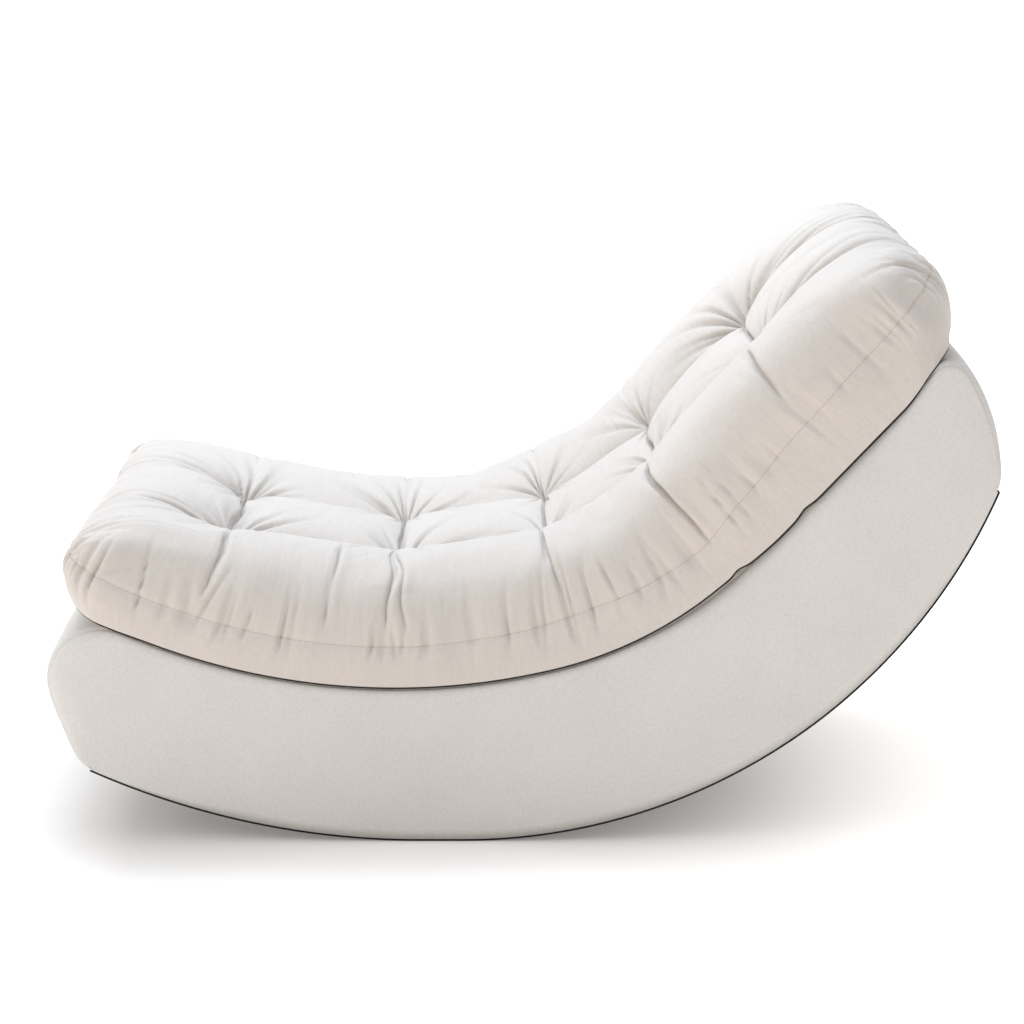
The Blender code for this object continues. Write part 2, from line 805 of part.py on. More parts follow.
def build_strips():
    # Hook tape on the deck and loop tape under the cushion, one pair on the seat, one on the back.
    names = ("seat", "back")
    half = STRIP_LENGTH / 2
    for name, facet in zip(names, STRIP_FACETS):
        start, end = facet_strip(facet, GAP, STRIP_WIDTH)
        board(f"hook_strip_{name}", start, end, HOOK_STRIP, -half, half, HOOK_TAPE)
        start, end = facet_strip(facet, 2 * GAP + HOOK_STRIP, STRIP_WIDTH)
        board(f"loop_strip_{name}", start, end, LOOP_STRIP, -half, half, LOOP_TAPE, CUSHION)


def build_cushion():
    rolled = width_lines(roll=True)
    plain = width_lines(roll=False)
    rings = len(BOXING_SHARES) - 1
    topper = cushion_piece("cushion_top", rolled, 0, topper_shape, COTTON)
    core = cushion_piece("cushion_core", plain, rings, core_shape, FOAM)
    cushion_piece("cushion_underside", plain, 1, underside_shape, LINING)
    boxing = cushion_piece("cushion_boxing", rolled, rings, boxing_shape, COTTON, capped=False)
    wall = boxing.modifiers.new("cloth", "SOLIDIFY")
    wall.thickness = BOXING
    wall.offset = -1
    wall.use_even_offset = True
    build_ties()
    cut_tie_bores(topper)
    cut_tie_bores(core)


build_frame()
build_rails()
build_rocker()
build_ballast()
build_deck()
build_covers()
build_strips()
build_cushion()
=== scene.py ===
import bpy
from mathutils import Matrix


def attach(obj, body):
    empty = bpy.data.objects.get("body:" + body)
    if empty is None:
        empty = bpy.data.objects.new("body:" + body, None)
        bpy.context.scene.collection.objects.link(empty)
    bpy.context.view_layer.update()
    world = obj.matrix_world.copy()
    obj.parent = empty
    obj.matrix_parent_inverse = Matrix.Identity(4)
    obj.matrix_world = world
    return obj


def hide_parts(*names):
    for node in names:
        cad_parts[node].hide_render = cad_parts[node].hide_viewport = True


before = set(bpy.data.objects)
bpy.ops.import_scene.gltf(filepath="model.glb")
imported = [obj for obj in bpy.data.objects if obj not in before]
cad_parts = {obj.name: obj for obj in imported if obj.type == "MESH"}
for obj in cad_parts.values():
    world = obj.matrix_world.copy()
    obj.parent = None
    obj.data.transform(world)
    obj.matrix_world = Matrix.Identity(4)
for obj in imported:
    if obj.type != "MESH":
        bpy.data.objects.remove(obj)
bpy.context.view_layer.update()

from bisect import bisect_right
from math import acos, atan2, cos, exp, hypot, pi, radians, sin, sqrt, tau

import bmesh
import bpy
from mathutils import Vector, noise
from mathutils.geometry import intersect_line_line_2d

# side view of the chair, x and z in metres: the deck under the cushion and the rocker below
side = dict(
    restX=-0.10915,          # middle of the flat the chair rests on
    restFlat=0.060,
    frontRadius=1.100, frontAngle=radians(25.45), rearRadius=0.800,
    lowAhead=0.063, lowZ=0.226,
    seatRadius=0.933, seatRear=radians(14.0),
    bendRadius=0.546, backAngle=radians(47.0),
    deckFront=-0.516, deckBack=0.9455,
)
bendStart = side["seatRadius"] * side["seatRear"]


def spoke(angle):
    # direction at an angle from straight down, towards the head end
    return Vector((sin(angle), -cos(angle)))


def deckAngle(s):
    if s < bendStart:
        return s / side["seatRadius"]
    return min(side["seatRear"] + (s - bendStart) / side["bendRadius"], side["backAngle"])


def deckPoint(s):
    angle = deckAngle(s)
    low = Vector((side["restX"] - side["lowAhead"], side["lowZ"] + side["seatRadius"]))
    if s < bendStart:
        return low + spoke(angle) * side["seatRadius"]
    centre = low + spoke(side["seatRear"]) * (side["seatRadius"] - side["bendRadius"])
    bendEnd = bendStart + side["bendRadius"] * (side["backAngle"] - side["seatRear"])
    place = centre + spoke(angle) * side["bendRadius"]
    return place + Vector((cos(angle), sin(angle))) * max(s - bendEnd, 0)


def overDeck(s, y, h):
    # a point h above the deck line, at length s from the seat's lowest point
    angle = deckAngle(s)
    place = deckPoint(s) + Vector((-sin(angle), cos(angle))) * h
    return Vector((place.x, y, place.y))


def ease(value):
    value = min(max(value, 0.0), 1.0)
    return value * value * (3 - 2 * value)


def rising(value, start, span):
    return ease((value - start) / span)


def falling(value, end, span):
    return ease((end - value) / span)


def bell(value, width):
    return exp(-(value / width) ** 2)


def drift(a, b, c):
    return noise.noise(Vector((a, b, c)))


def newObject(name, data):
    thing = bpy.data.objects.new(name, data)
    bpy.context.scene.collection.objects.link(thing)
    return thing


def meshObject(name, bm):
    mesh = bpy.data.meshes.new(name)
    bm.to_mesh(mesh)
    return newObject(name, mesh)


def discard(thing):
    mesh = thing.data
    bpy.data.objects.remove(thing)
    bpy.data.meshes.remove(mesh)


def newPiece(name, bm, finish, body):
    piece = meshObject(name, bm)
    bm.free()
    for poly in piece.data.polygons:
        poly.use_smooth = True
    piece.data.materials.append(finishes[finish])
    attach(piece, body)
    return piece


def gridVerts(bm, columns, rows):
    # the points of a new grid, each with its column and row
    made = bmesh.ops.create_grid(bm, x_segments=columns, y_segments=rows, size=1)
    return [(vert, round((vert.co.x + 1) / 2 * columns), round((vert.co.y + 1) / 2 * rows))
            for vert in made["verts"]]


def openEdges(bm):
    return [e for e in bm.edges if e.is_boundary]


def closeMesh(bm, weld=0.00001):
    # welds the points that meet, fills what is still open and turns all faces outwards
    bmesh.ops.remove_doubles(bm, verts=bm.verts, dist=weld)
    bmesh.ops.holes_fill(bm, edges=openEdges(bm), sides=0)
    bmesh.ops.recalc_face_normals(bm, faces=bm.faces)


# shared effects for the finishes
texture = dict(
    slubScale=140, slubShade=(0.975, 1.025), crossHeight=0.5,
    coarseScale=0.28, coarseHeight=0.8, slowScale=9,
    fineShade=(-0.5, 0.5), coarseShade=(-0.4, 0.4), slowShade=(-0.2, 0.2),
    lineStretch=(0.06, 1, 1), lineShade=(0.80, 1.12),
    bandStretch=(0.10, 1, 1), bandShade=(0.85, 1.15), bandScale=14,
    sheenRoughness=0.45, specular=0.25,
)


def feed(tree, socket, value):
    if isinstance(value, bpy.types.NodeSocket):
        tree.links.new(value, socket)
    else:
        socket.default_value = value


def addNode(tree, kind, inputs, output=0, **settings):
    node = tree.nodes.new("ShaderNode" + kind)
    for name, value in settings.items():
        setattr(node, name, value)
    for key, value in inputs.items():
        feed(tree, node.inputs[key], value)
    return node.outputs[output]


def times(tree, a, b):
    return addNode(tree, "Math", {0: a, 1: b}, operation="MULTIPLY")


def plus(tree, a, b):
    return addNode(tree, "Math", {0: a, 1: b}, operation="ADD")


def noiseNode(tree, vector, scale, detail, stretch=None):
    if stretch:
        vector = addNode(tree, "Mapping", {"Vector": vector, "Scale": stretch})
    return addNode(tree, "TexNoise", {"Vector": vector, "Scale": scale, "Detail": detail}, "Fac")


def rangeNode(tree, value, low, high, start=0.3, end=0.7, **settings):
    # noise lies mostly between 0.3 and 0.7
    limits = {"Value": value, "From Min": start, "From Max": end, "To Min": low, "To Max": high}
    return addNode(tree, "MapRange", limits, **settings)


def newGroup(name, *inputs):
    group = bpy.data.node_groups.new(name, "ShaderNodeTree")
    group.interface.new_socket("Place", in_out="INPUT", socket_type="NodeSocketVector")
    for way, labels in (("INPUT", inputs), ("OUTPUT", ("Height", "Shade"))):
        for label in labels:
            group.interface.new_socket(label, in_out=way, socket_type="NodeSocketFloat")
    return group, group.nodes.new("NodeGroupInput").outputs


def closeGroup(group, height, shade):
    sink = group.nodes.new("NodeGroupOutput")
    feed(group, sink.inputs["Height"], height)
    feed(group, sink.inputs["Shade"], shade)
    return group


def makeWeave():
    # plain weave: warp and weft cross over and under on a square lattice
    group, source = newGroup("plainWeave", "Threads")
    turns = times(group, source["Threads"], pi)
    waves = []
    for axis in "XY":
        place = addNode(group, "SeparateXYZ", {0: source["Place"]}, axis)
        waves.append(addNode(group, "Math", {0: times(group, place, turns)}, operation="SINE"))
    cross = times(group, times(group, *waves), texture["crossHeight"])
    slub = noiseNode(group, source["Place"], texture["slubScale"], 3)
    return closeGroup(group, plus(group, cross, slub), rangeNode(group, slub, *texture["slubShade"]))


def makeFuzz():
    # matted fibres: fine speckle, short tufts and slow patches
    group, source = newGroup("mattedFibres", "Scale", "Contrast")
    fine = noiseNode(group, source["Place"], source["Scale"], 4)
    coarse = noiseNode(group, source["Place"], times(group, source["Scale"], texture["coarseScale"]), 3)
    slow = noiseNode(group, source["Place"], texture["slowScale"], 2)
    shades = [rangeNode(group, spots, *texture[key])
              for spots, key in ((fine, "fineShade"), (coarse, "coarseShade"), (slow, "slowShade"))]
    mixed = plus(group, plus(group, shades[0], shades[1]), shades[2])
    height = plus(group, fine, times(group, coarse, texture["coarseHeight"]))
    return closeGroup(group, height, plus(group, times(group, mixed, source["Contrast"]), 1.0))


def makeGrain():
    # long grain lines with slow bands
    group, source = newGroup("woodGrain", "Scale")
    lines = noiseNode(group, source["Place"], source["Scale"], 5, texture["lineStretch"])
    bands = noiseNode(group, source["Place"], texture["bandScale"], 2, texture["bandStretch"])
    shade = times(group, rangeNode(group, lines, *texture["lineShade"]),
                  rangeNode(group, bands, *texture["bandShade"]))
    return closeGroup(group, lines, shade)


weave, fuzz, grain = makeWeave(), makeFuzz(), makeGrain()


def newFinish(name, roughness, sheen=0.0, metallic=0.0):
    material = bpy.data.materials.new(name)
    material.use_nodes = True
    shader = material.node_tree.nodes["Principled BSDF"].inputs
    for label, value in (("Roughness", roughness), ("Metallic", metallic), ("Sheen Weight", sheen),
                         ("Sheen Roughness", texture["sheenRoughness"]),
                         ("Specular IOR Level", texture["specular"])):
        shader[label].default_value = value
    return material, material.node_tree, shader


def objectPlace(tree):
    return addNode(tree, "TexCoord", {}, "Object")


def effect(tree, group, place, scale, contrast):
    inputs = {"Place": place, 1: scale}
    if group is fuzz:
        inputs["Contrast"] = contrast
    return addNode(tree, "Group", inputs, node_tree=group).node.outputs


def tinted(tree, shader, colour, shade):
    inputs = {0: 1, 6: (*colour, 1), 7: shade}
    feed(tree, shader["Base Color"], addNode(tree, "Mix", inputs, 2, data_type="RGBA", blend_type="MULTIPLY"))


def bumped(tree, shader, height, strength, depth):
    inputs = {"Height": height, "Strength": strength, "Distance": depth}
    feed(tree, shader["Normal"], addNode(tree, "Bump", inputs))


cottonLook = dict(
    # creaseShade: how much of the colour the painted crease shade leaves at a crease's bottom
    colour=(0.622, 0.562, 0.507), roughness=0.88, sheen=0.30, creaseShade=0.55,
    threads=1300, threadHeight=0.12, fibres=1500, contrast=0.03,
    slackShape=(58, 16, 1), slackHeight=2.4, bump=0.55, depth=0.0016,
)


def makeCotton():
    look = cottonLook
    material, tree, shader = newFinish("cushionCotton", look["roughness"], look["sheen"])
    place = addNode(tree, "UVMap", {}, uv_map="cloth")
    woven = effect(tree, weave, place, look["threads"], look["contrast"])
    matted = effect(tree, fuzz, objectPlace(tree), look["fibres"], look["contrast"])
    # painted shade: the cotton's colour is drawn darker where the mesh marks a crease, in place of the shadow
    # deep inside it
    creaseShadeMask = addNode(tree, "Attribute", {}, "Fac", attribute_name="paintedCreaseShade")
    deep = rangeNode(tree, creaseShadeMask, 1.0, look["creaseShade"], 0.0, 1.0)
    tinted(tree, shader, look["colour"], times(tree, times(tree, woven["Shade"], matted["Shade"]), deep))
    # short slack wrinkles that run across the rolls
    slack = noiseNode(tree, place, 1.0, 3, look["slackShape"])
    height = plus(tree, times(tree, slack, look["slackHeight"]),
                  times(tree, woven["Height"], look["threadHeight"]))
    bumped(tree, shader, height, look["bump"], look["depth"])
    return material


def makePlain(name, colour, group, scale, roughness, strength, sheen=0.0, metallic=0.0,
              contrast=0.08, depth=0.0006):
    material, tree, shader = newFinish(name, roughness, sheen, metallic)
    worked = effect(tree, group, objectPlace(tree), scale, contrast)
    tinted(tree, shader, colour, worked["Shade"])
    bumped(tree, shader, worked["Height"], strength, depth)
    return material


# colour, effect, its scale, roughness, bump strength, sheen, metallic, contrast, bump depth
plainLooks = dict(
    baseFelt=((0.640, 0.608, 0.570), fuzz, 800, 0.95, 0.35, 0.25, 0.0, 0.10, 0.0008),
    cushionLining=((0.50, 0.47, 0.43), weave, 900, 0.95, 0.4, 0.1),
    # the thread is real; its grey, darker than the cotton, is painted shade of the needle holes along the
    # seam
    seamThread=((0.50, 0.46, 0.42), fuzz, 1400, 0.85, 0.3),
    # painted shadow: near black, for the shaded gap under the cushion's edge
    paintedShadowTape=((0.030, 0.028, 0.027), weave, 1200, 0.92, 0.4),
    blackSole=((0.012, 0.012, 0.013), fuzz, 700, 0.80, 0.4),
    birchPlywood=((0.62, 0.45, 0.28), grain, 160, 0.65, 0.3),
    pineTimber=((0.66, 0.48, 0.28), grain, 110, 0.70, 0.3),
    elasticWebbing=((0.05, 0.05, 0.06), weave, 600, 0.90, 0.6),
    castIron=((0.08, 0.08, 0.085), fuzz, 300, 0.60, 0.6, 0.0, 0.9),
    hookTape=((0.60, 0.58, 0.55), weave, 700, 0.80, 0.8),
    loopTape=((0.68, 0.66, 0.63), fuzz, 1100, 0.95, 0.8, 0.2),
    tuftTwine=((0.74, 0.71, 0.66), weave, 1500, 0.90, 0.7),
    upholsteryFoam=((0.80, 0.74, 0.58), fuzz, 500, 0.95, 0.6),
)
finishes = {name: makePlain(name, *look) for name, look in plainLooks.items()}
finishes["cushionCotton"] = makeCotton()

nodeFinishes = dict(
    baseFelt=("side_cover", "top_cover"), cushionCotton=("cushion_top", "cushion_boxing"),
    cushionLining=("cushion_underside",), upholsteryFoam=("wrap_foam", "side_foam", "cushion_core"),
    birchPlywood=("side_frame", "centre_rib", "rocker_skin"),
    pineTimber=("stretcher", "front_rail", "back_rail"),
    blackSole=("rocker_sole",), elasticWebbing=("webbing_strap",), castIron=("ballast_bar",),
    hookTape=("hook_strip",), loopTape=("loop_strip",), tuftTwine=("tuft_tie",),
)
for name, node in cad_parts.items():
    for look, heads in nodeFinishes.items():
        if name.startswith(heads):
            node.data.materials.clear()
            node.data.materials.append(finishes[look])
print("finishes set on", len(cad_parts), "nodes")


# upholstered base: side panels, rounded rims and one long panel over foot end, deck and back
base = dict(
    half=0.400, rim=0.016, noseRim=0.027, backRim=0.030, tailRim=0.014, leastRim=0.005,
    frontBulge=0.028, backBulge=0.021, frontRound=0.080, backRound=0.035,
    toeRound=0.058, heelRound=0.075, heelAngle=radians(68.5), runOn=radians(4),
    lift=0.0034, lip=0.0029, lipRise=0.0066, lowInset=0.0012, wadding=0.0095,
    pillow=0.0025, endCrown=0.0030, deckDip=0.0004,
    groove=0.0014, grooveSpan=0.0022, grooveLimit=0.25, seamAngle=50, seamLower=27,
    # shares of the upper line: where a rise starts or a fall ends, and its span
    noseEnd=(0.10, 0.08), backFrom=(0.56, 0.08), backTo=(0.86, 0.06), tailFrom=(0.82, 0.06),
    lowerFrom=(0.86, 0.06), lowerTo=(0.93, 0.07), deckFrom=(0.10, 0.06), deckTo=(0.90, 0.06),
    cornerSpan=0.045, grooveFade=0.03, endFade=0.05, turnStep=0.004,
    frontSteps=40, rearSteps=80, deckSteps=120, endSteps=30, roundSteps=14, cornerSteps=12,
    lengthCells=270, sideCells=14, topCells=14, weld=0.00002,
)


def arcPoints(centre, radius, start, end, steps):
    return [centre + spoke(start + (end - start) * k / steps) * radius for k in range(steps + 1)]


def leftOf(a, b):
    step = (b - a).normalized()
    return Vector((-step.y, step.x))


def bulgedLine(start, end, bulge, steps):
    chord = end - start
    out = leftOf(start, end)
    shares = [k / steps for k in range(steps + 1)]
    return [start + chord * x + out * bulge * 4 * x * (1 - x) for x in shares]


def shiftedLine(path, distance):
    moved = []
    for k, point in enumerate(path):
        a, b = path[max(k - 1, 0)], path[min(k + 1, len(path) - 1)]
        moved.append(point + leftOf(a, b) * distance)
    return moved


def crossings(first, second):
    found = []
    for i in range(len(first) - 1):
        for j in range(len(second) - 1):
            point = intersect_line_line_2d(first[i], first[i + 1], second[j], second[j + 1])
            if point is not None:
                found.append((i, j, point))
    return found


def roundedJoin(first, second, radius, steps):
    # joins two lines that turn right where they meet by an arc that touches both; says where the arc begins
    i, j, centre = crossings(shiftedLine(first, -radius), shiftedLine(second, -radius))[-1]
    start = leftOf(first[i], first[i + 1])
    end = leftOf(second[j], second[j + 1])
    turn = atan2(start.y, start.x)
    sweep = start.angle_signed(end)
    bend = [turn - sweep * k / steps for k in range(steps + 1)]
    arc = [centre + Vector((cos(a), sin(a))) * radius for a in bend]
    return first[:i + 1] + arc + second[j + 1:], i + 1


def rockerLine(lift, more=0.0):
    front = Vector((side["restX"] - side["restFlat"] / 2, side["frontRadius"]))
    rear = Vector((side["restX"] + side["restFlat"] / 2, side["rearRadius"]))
    line = arcPoints(front, side["frontRadius"] - lift, -side["frontAngle"] - more, 0, base["frontSteps"])
    return line + arcPoints(rear, side["rearRadius"] - lift, 0, base["heelAngle"] + more, base["rearSteps"])


def upperLine():
    # foot end, deck and back in side view, with rounded joins
    rocker = rockerLine(0)
    steps = base["deckSteps"]
    span = side["deckBack"] - side["deckFront"]
    deck = [deckPoint(side["deckFront"] + span * k / steps) for k in range(steps + 1)]
    front = bulgedLine(rocker[0], deck[0], base["frontBulge"], base["endSteps"])
    back = bulgedLine(deck[-1], rocker[-1], base["backBulge"], base["endSteps"])
    line, _ = roundedJoin(front, deck, base["frontRound"], base["roundSteps"])
    return roundedJoin(line, back, base["backRound"], base["roundSteps"])[0]


def coverOutline(path):
    # the upper line closed along the rocker, its toe and heel rounded, parted where the sole begins and ends
    rocker = rockerLine(base["lift"], base["runOn"])
    cuts = crossings(path, rocker)
    (i, j, front), (m, n, back) = cuts[0], cuts[-1]
    upper = [front] + path[i + 1:m + 1] + [back]
    lower = [front] + rocker[j + 1:n + 1] + [back]
    steps = base["cornerSteps"]
    outline, begun = roundedJoin(lower[::-1], upper, base["toeRound"], steps)
    upper, under = outline[begun + 1:], outline[:begun + 2]
    outline, begun = roundedJoin(upper, under, base["heelRound"], steps)
    return outline[:begun + steps], outline[begun + steps - 1:][::-1]


def measured(path):
    lengths = [0.0]
    for a, b in zip(path, path[1:]):
        lengths.append(lengths[-1] + (b - a).length)
    return path, lengths


def along(line, share):
    # the point at a share of the line's length
    points, lengths = line
    want = min(max(share, 0.0), 1.0) * lengths[-1]
    low = min(bisect_right(lengths, want), len(points) - 1) - 1
    gap = lengths[low + 1] - lengths[low]
    return points[low].lerp(points[low + 1], (want - lengths[low]) / max(gap, 1e-9))


def smoothAlong(line, share):
    # the same point, and the direction to the line's left
    step = base["turnStep"]
    return along(line, share), leftOf(along(line, share - step), along(line, share + step))


def rimRadius(u):
    # fuller at the nose and the back, small at the toe and the heel
    rim, least = base["rim"], base["leastRim"]
    full = rim + (base["noseRim"] - rim) * (1 - rising(u, *base["noseEnd"]))
    full += (base["backRim"] - rim) * rising(u, *base["backFrom"]) * falling(u, *base["backTo"])
    full += (base["tailRim"] - rim) * rising(u, *base["tailFrom"])
    return least + (full - least) * ease(min(u, 1 - u) / base["cornerSpan"])


def rimRings(u):
    # angles round the rim with the depth there: over the groove where side and top panel are sewn together
    back = rising(u, *base["lowerFrom"])
    seam = radians(base["seamAngle"] - base["seamLower"] * back * (1 - rising(u, *base["lowerTo"])))
    span = min(base["grooveSpan"] / rimRadius(u), seam * base["grooveLimit"])
    return ((0, 0), (seam * 0.35, 0), (seam * 0.7, 0), (seam - span, 0), (seam - span * 0.4, 0.75), (seam, 1),
            (seam + span * 0.4, 0.75), (seam + span, 0), ((seam + span + pi / 2) / 2, 0), (pi / 2 * 0.9, 0),
            (pi / 2, 0))


def coverStations():
    stations = [("side", v / base["sideCells"]) for v in range(base["sideCells"])]
    stations += [("rim", k) for k in range(len(rimRings(0)))]
    stations += [("top", 1 - k / base["topCells"]) for k in range(1, base["topCells"] + 1)]
    return [(*station, -1) for station in stations] + [(*station, 1) for station in stations[-2::-1]]


def coverPoint(upper, lower, u, station, depth):
    # a point of the cover, or of its inner face where depth isn't 0
    kind, value, hand = station
    edge, outward = smoothAlong(upper, u)
    rim = rimRadius(u)
    ends = ease(min(u, 1 - u) / base["endFade"])
    if kind == "side":
        low = along(lower, u)
        high = edge - outward * rim
        place = low.lerp(high, value)
        y = base["half"] + base["pillow"] * (1 - (2 * value - 1) ** 4) * ends - depth
        if value == 0:
            y = base["half"] - base["lip" if depth else "lowInset"]
            place = place + (high - low).normalized() * (base["lipRise"] if depth else 0.0)
    elif kind == "rim":
        angle, dip = rimRings(u)[value]
        reach = rim - base["groove"] * dip * ease(min(u, 1 - u) / base["grooveFade"]) - depth
        place = edge - outward * (rim - reach * sin(angle))
        y = base["half"] - rim + reach * cos(angle)
    else:
        deck = rising(u, *base["deckFrom"]) * falling(u, *base["deckTo"])
        crown = base["endCrown"] * (1 - deck) * ends * (1 - value ** 4) - base["deckDip"] * deck
        place = edge + outward * (crown - depth)
        y = (base["half"] - rim) * value
    if depth and u in (0, 1) and kind != "side":
        endwise = leftOf(edge, edge + outward) * (-1 if u == 0 else 1)
        place = edge - outward * base["lip"] + endwise * base["lipRise"]
    return Vector((place.x, y * hand, place.y))


upperEdge, lowerEdge = coverOutline(upperLine())


def makeBase():
    upper, lower = measured(upperEdge), measured(lowerEdge)
    stations = coverStations()
    cells = base["lengthCells"]
    bm = bmesh.new()
    for depth in (0, base["wadding"]):
        for vert, i, j in gridVerts(bm, cells, len(stations) - 1):
            vert.co = coverPoint(upper, lower, i / cells, stations[j], depth)
    bmesh.ops.bridge_loops(bm, edges=openEdges(bm))
    closeMesh(bm, base["weld"])
    piece = newPiece("baseCover", bm, "baseFelt", "base")
    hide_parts("side_cover_left", "side_cover_right", "top_cover",
                "wrap_foam", "side_foam_left", "side_foam_right")
    print("base cover", len(piece.data.polygons), "faces")


makeBase()

# black sole under the rocker, from the rounded toe to the rounded heel
soleSheet = dict(half=0.397, thickness=0.003)


def makeSole():
    half = soleSheet["half"]
    outer = shiftedLine(lowerEdge, -base["lift"])
    inner = shiftedLine(lowerEdge, soleSheet["thickness"] - base["lift"])
    corners = ((-half, outer), (half, outer), (half, inner), (-half, inner))
    bm = bmesh.new()
    for vert, k, corner in gridVerts(bm, len(outer) - 1, len(corners)):
        y, line = corners[corner % len(corners)]
        vert.co = (line[k].x, y, line[k].y)
    closeMesh(bm)
    piece = newPiece("soleSheet", bm, "blackSole", "base")
    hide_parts("rocker_sole")
    print("sole", len(piece.data.polygons), "faces")


makeSole()


# tufted cushion; lengths along the deck are from the seat's lowest point
pad = dict(
    half=0.402, foot=-0.523, head=1.003, footCorner=0.075, headCorner=0.110,
    waist=0.005, footDraw=0.015, drawSpan=0.16,
    footRoll=0.180, headRoll=0.185, sideRoll=0.092, power=2.4,
    footRise=0.10, headRise=0.09, sideRise=0.10,
    crestFoot=0.143, crestSeat=0.154, crestBack=0.181,
    nearLow=0.002, farLow=0.008, farHigh=0.020,
    # where a rise starts or a fall ends, along or across, and its span
    seatFrom=(-0.40, 0.20), farFrom=(0.10, 0.22), farTo=(0.96, 0.34),
    lowSeat=(0.25, 0.20), lowFoot=(-0.36, 0.12), farSide=(0.06, 0.18), nearSide=(-0.10, 0.12),
    seamPlaces=(-0.53, 0.0, 0.15, 0.30, 0.41, 0.50, 0.60, 0.72, 0.85, 1.01),
    seamHeights=(0.056, 0.057, 0.061, 0.066, 0.061, 0.056, 0.066, 0.076, 0.080, 0.084),
    rows=(-0.292, -0.003, 0.252, 0.515, 0.742), column=0.133, pillow=0.105, blunt=0.002,
    rowDepth=(0.028, 0.028, 0.022, 0.022, 0.028), rowReach=0.032, rowHold=0.035,
    columnDepth=(0.038, 0.040, 0.032, 0.032, 0.040), columnHold=0.10,
    footLoss=0.7, footFade=0.17, headLoss=0.45, headFade=0.20,
    rollDepth=(0.006, 0.007, 0.006, 0.008, 0.007), rollWidth=0.0055,
    rollLeast=0.35, rollFrom=(0.13, 0.06), rollLoss=0.5, rollTo=(0.20, 0.07), farRoll=0.4,
    tuftDepth=(0.011, 0.015, 0.006, 0.006, 0.024), tuftReach=0.027,
    lift=0.0045, cell=0.0064, crowding=0.5, arcShare=0.785,
)
half, foot, head, rows, column = (pad[key] for key in ("half", "foot", "head", "rows", "column"))
footRoll, headRoll, sideRoll = (pad[key] for key in ("footRoll", "headRoll", "sideRoll"))
inFoot, inHead, inSide = foot + footRoll, head - headRoll, half - sideRoll


def backShare(s):
    return rising(s, bendStart, inHead - bendStart)


def easedAlong(s, places, values):
    for a, b, low, high in zip(places, places[1:], values, values[1:]):
        if s <= b:
            return low + (high - low) * rising(s, a, b - a)
    return values[-1]


def seamHeight(s):
    return easedAlong(s, pad["seamPlaces"], pad["seamHeights"])


def crestHeight(s, y):
    least = pad["crestFoot"]
    seat = least + (pad["crestSeat"] - least) * rising(s, *pad["seatFrom"])
    height = seat + (pad["crestBack"] - seat) * backShare(s)
    # the far side stands fuller where seat and back meet
    far = pad["farHigh"] * rising(s, *pad["farFrom"]) * falling(s, *pad["farTo"])
    far -= pad["farLow"] * (falling(s, *pad["lowSeat"]) + falling(s, *pad["lowFoot"]))
    far *= rising(y, *pad["farSide"])
    return height + far - pad["nearLow"] * falling(y, *pad["nearSide"])


def rollShare(distance, width):
    inside = 1 - min(max(round(distance / width, 5), 0.0), 1.0)
    return (1 - inside ** pad["power"]) ** (1 / pad["power"])


def edgeShare(s, y):
    share = rollShare(s - foot, footRoll)
    share *= rollShare(head - s, headRoll)
    return share * rollShare(half - abs(y), sideRoll)


def crease(distance, width):
    blunt = pad["blunt"]
    return exp(-(sqrt(distance * distance + blunt * blunt) - blunt) / width)


def dome(distance, width):
    # a pillow's round edge: steep at the crease, level a width away from it
    inside = max(1 - abs(distance) / width, 0.0)
    return 1 - sqrt(1 - inside * inside)


def creaseLine(s, y, width):
    # how near a point is to the creases between the tufts, from 0 to 1
    fade = pad["columnHold"]
    across = abs(y) - column
    inRow = bell(min(abs(s - row) for row in rows), width) * bell(max(across, 0.0), pad["rowHold"])
    ends = (1 - falling(s, rows[0], fade)) * (1 - rising(s, rows[-1], fade))
    return max(inRow, bell(across, width) * ends)


def creaseDrop(s, y):
    across = abs(y) - column
    outward = exp(-max(across, 0.0) / pad["rowReach"])      # rows fade quickly on the outer rolls
    least = pad["rollLeast"]
    pull = (1 - outward) * (least + (1 - least) * rising(across, *pad["rollFrom"]))
    pull *= 1.0 if y < 0 else pad["farRoll"]
    pull *= 1 - pad["rollLoss"] * rising(across, *pad["rollTo"])
    row = 0.0
    for place, depth, roll in zip(rows, pad["rowDepth"], pad["rollDepth"]):
        row = max(row, depth * outward * dome(s - place, pad["pillow"])
                  + roll * pull * crease(s - place, pad["rollWidth"]))
    fade = 1 - pad["footLoss"] * falling(s, rows[0], pad["footFade"])
    fade -= pad["headLoss"] * rising(s, rows[-1], pad["headFade"])
    most = easedAlong(s, rows, pad["columnDepth"])
    deep = most * dome(across, pad["pillow"]) * fade
    return row + deep - row * deep / most


def tuftDrop(s, y):
    across = abs(y) - column
    return max(depth * exp(-hypot(s - row, across) / pad["tuftReach"])
               for row, depth in zip(rows, pad["tuftDepth"]))


def tuftDistance(s, y):
    return min(hypot(s - row, abs(y) - column) for row in rows)


def topHeight(s, y):
    rise = crestHeight(s, y) - seamHeight(s) - creaseDrop(s, y) - tuftDrop(s, y)
    return seamHeight(s) + rise * edgeShare(s, y)


def lengthShare(s):
    # from -1 at the foot to 1 at the head
    return (s - foot) / (head - foot) * 2 - 1


def roundedPlan(s, y):
    # square plan corners drawn in to arcs, long sides to a slight waist
    corner = pad["footCorner" if s < 0 else "headCorner"]
    waist = pad["waist"] / half * (1 - lengthShare(s) * lengthShare(s))
    over = max(foot + corner - s, s - head + corner, 0.0) / corner
    beside = max(abs(y) - half + corner, 0.0) / corner
    if over > 0 and beside > 0:
        newOver = over * sqrt(1 - beside * beside / 2)
        newBeside = beside * sqrt(1 - over * over / 2)
        s += (over - newOver) * corner * (1 if s < 0 else -1)
        y -= (beside - newBeside) * corner * (1 if y > 0 else -1)
    s += pad["footDraw"] * (1 - (y / half) ** 2) * (1 - rising(s, foot, pad["drawSpan"]))
    return s, y * (1 - waist)


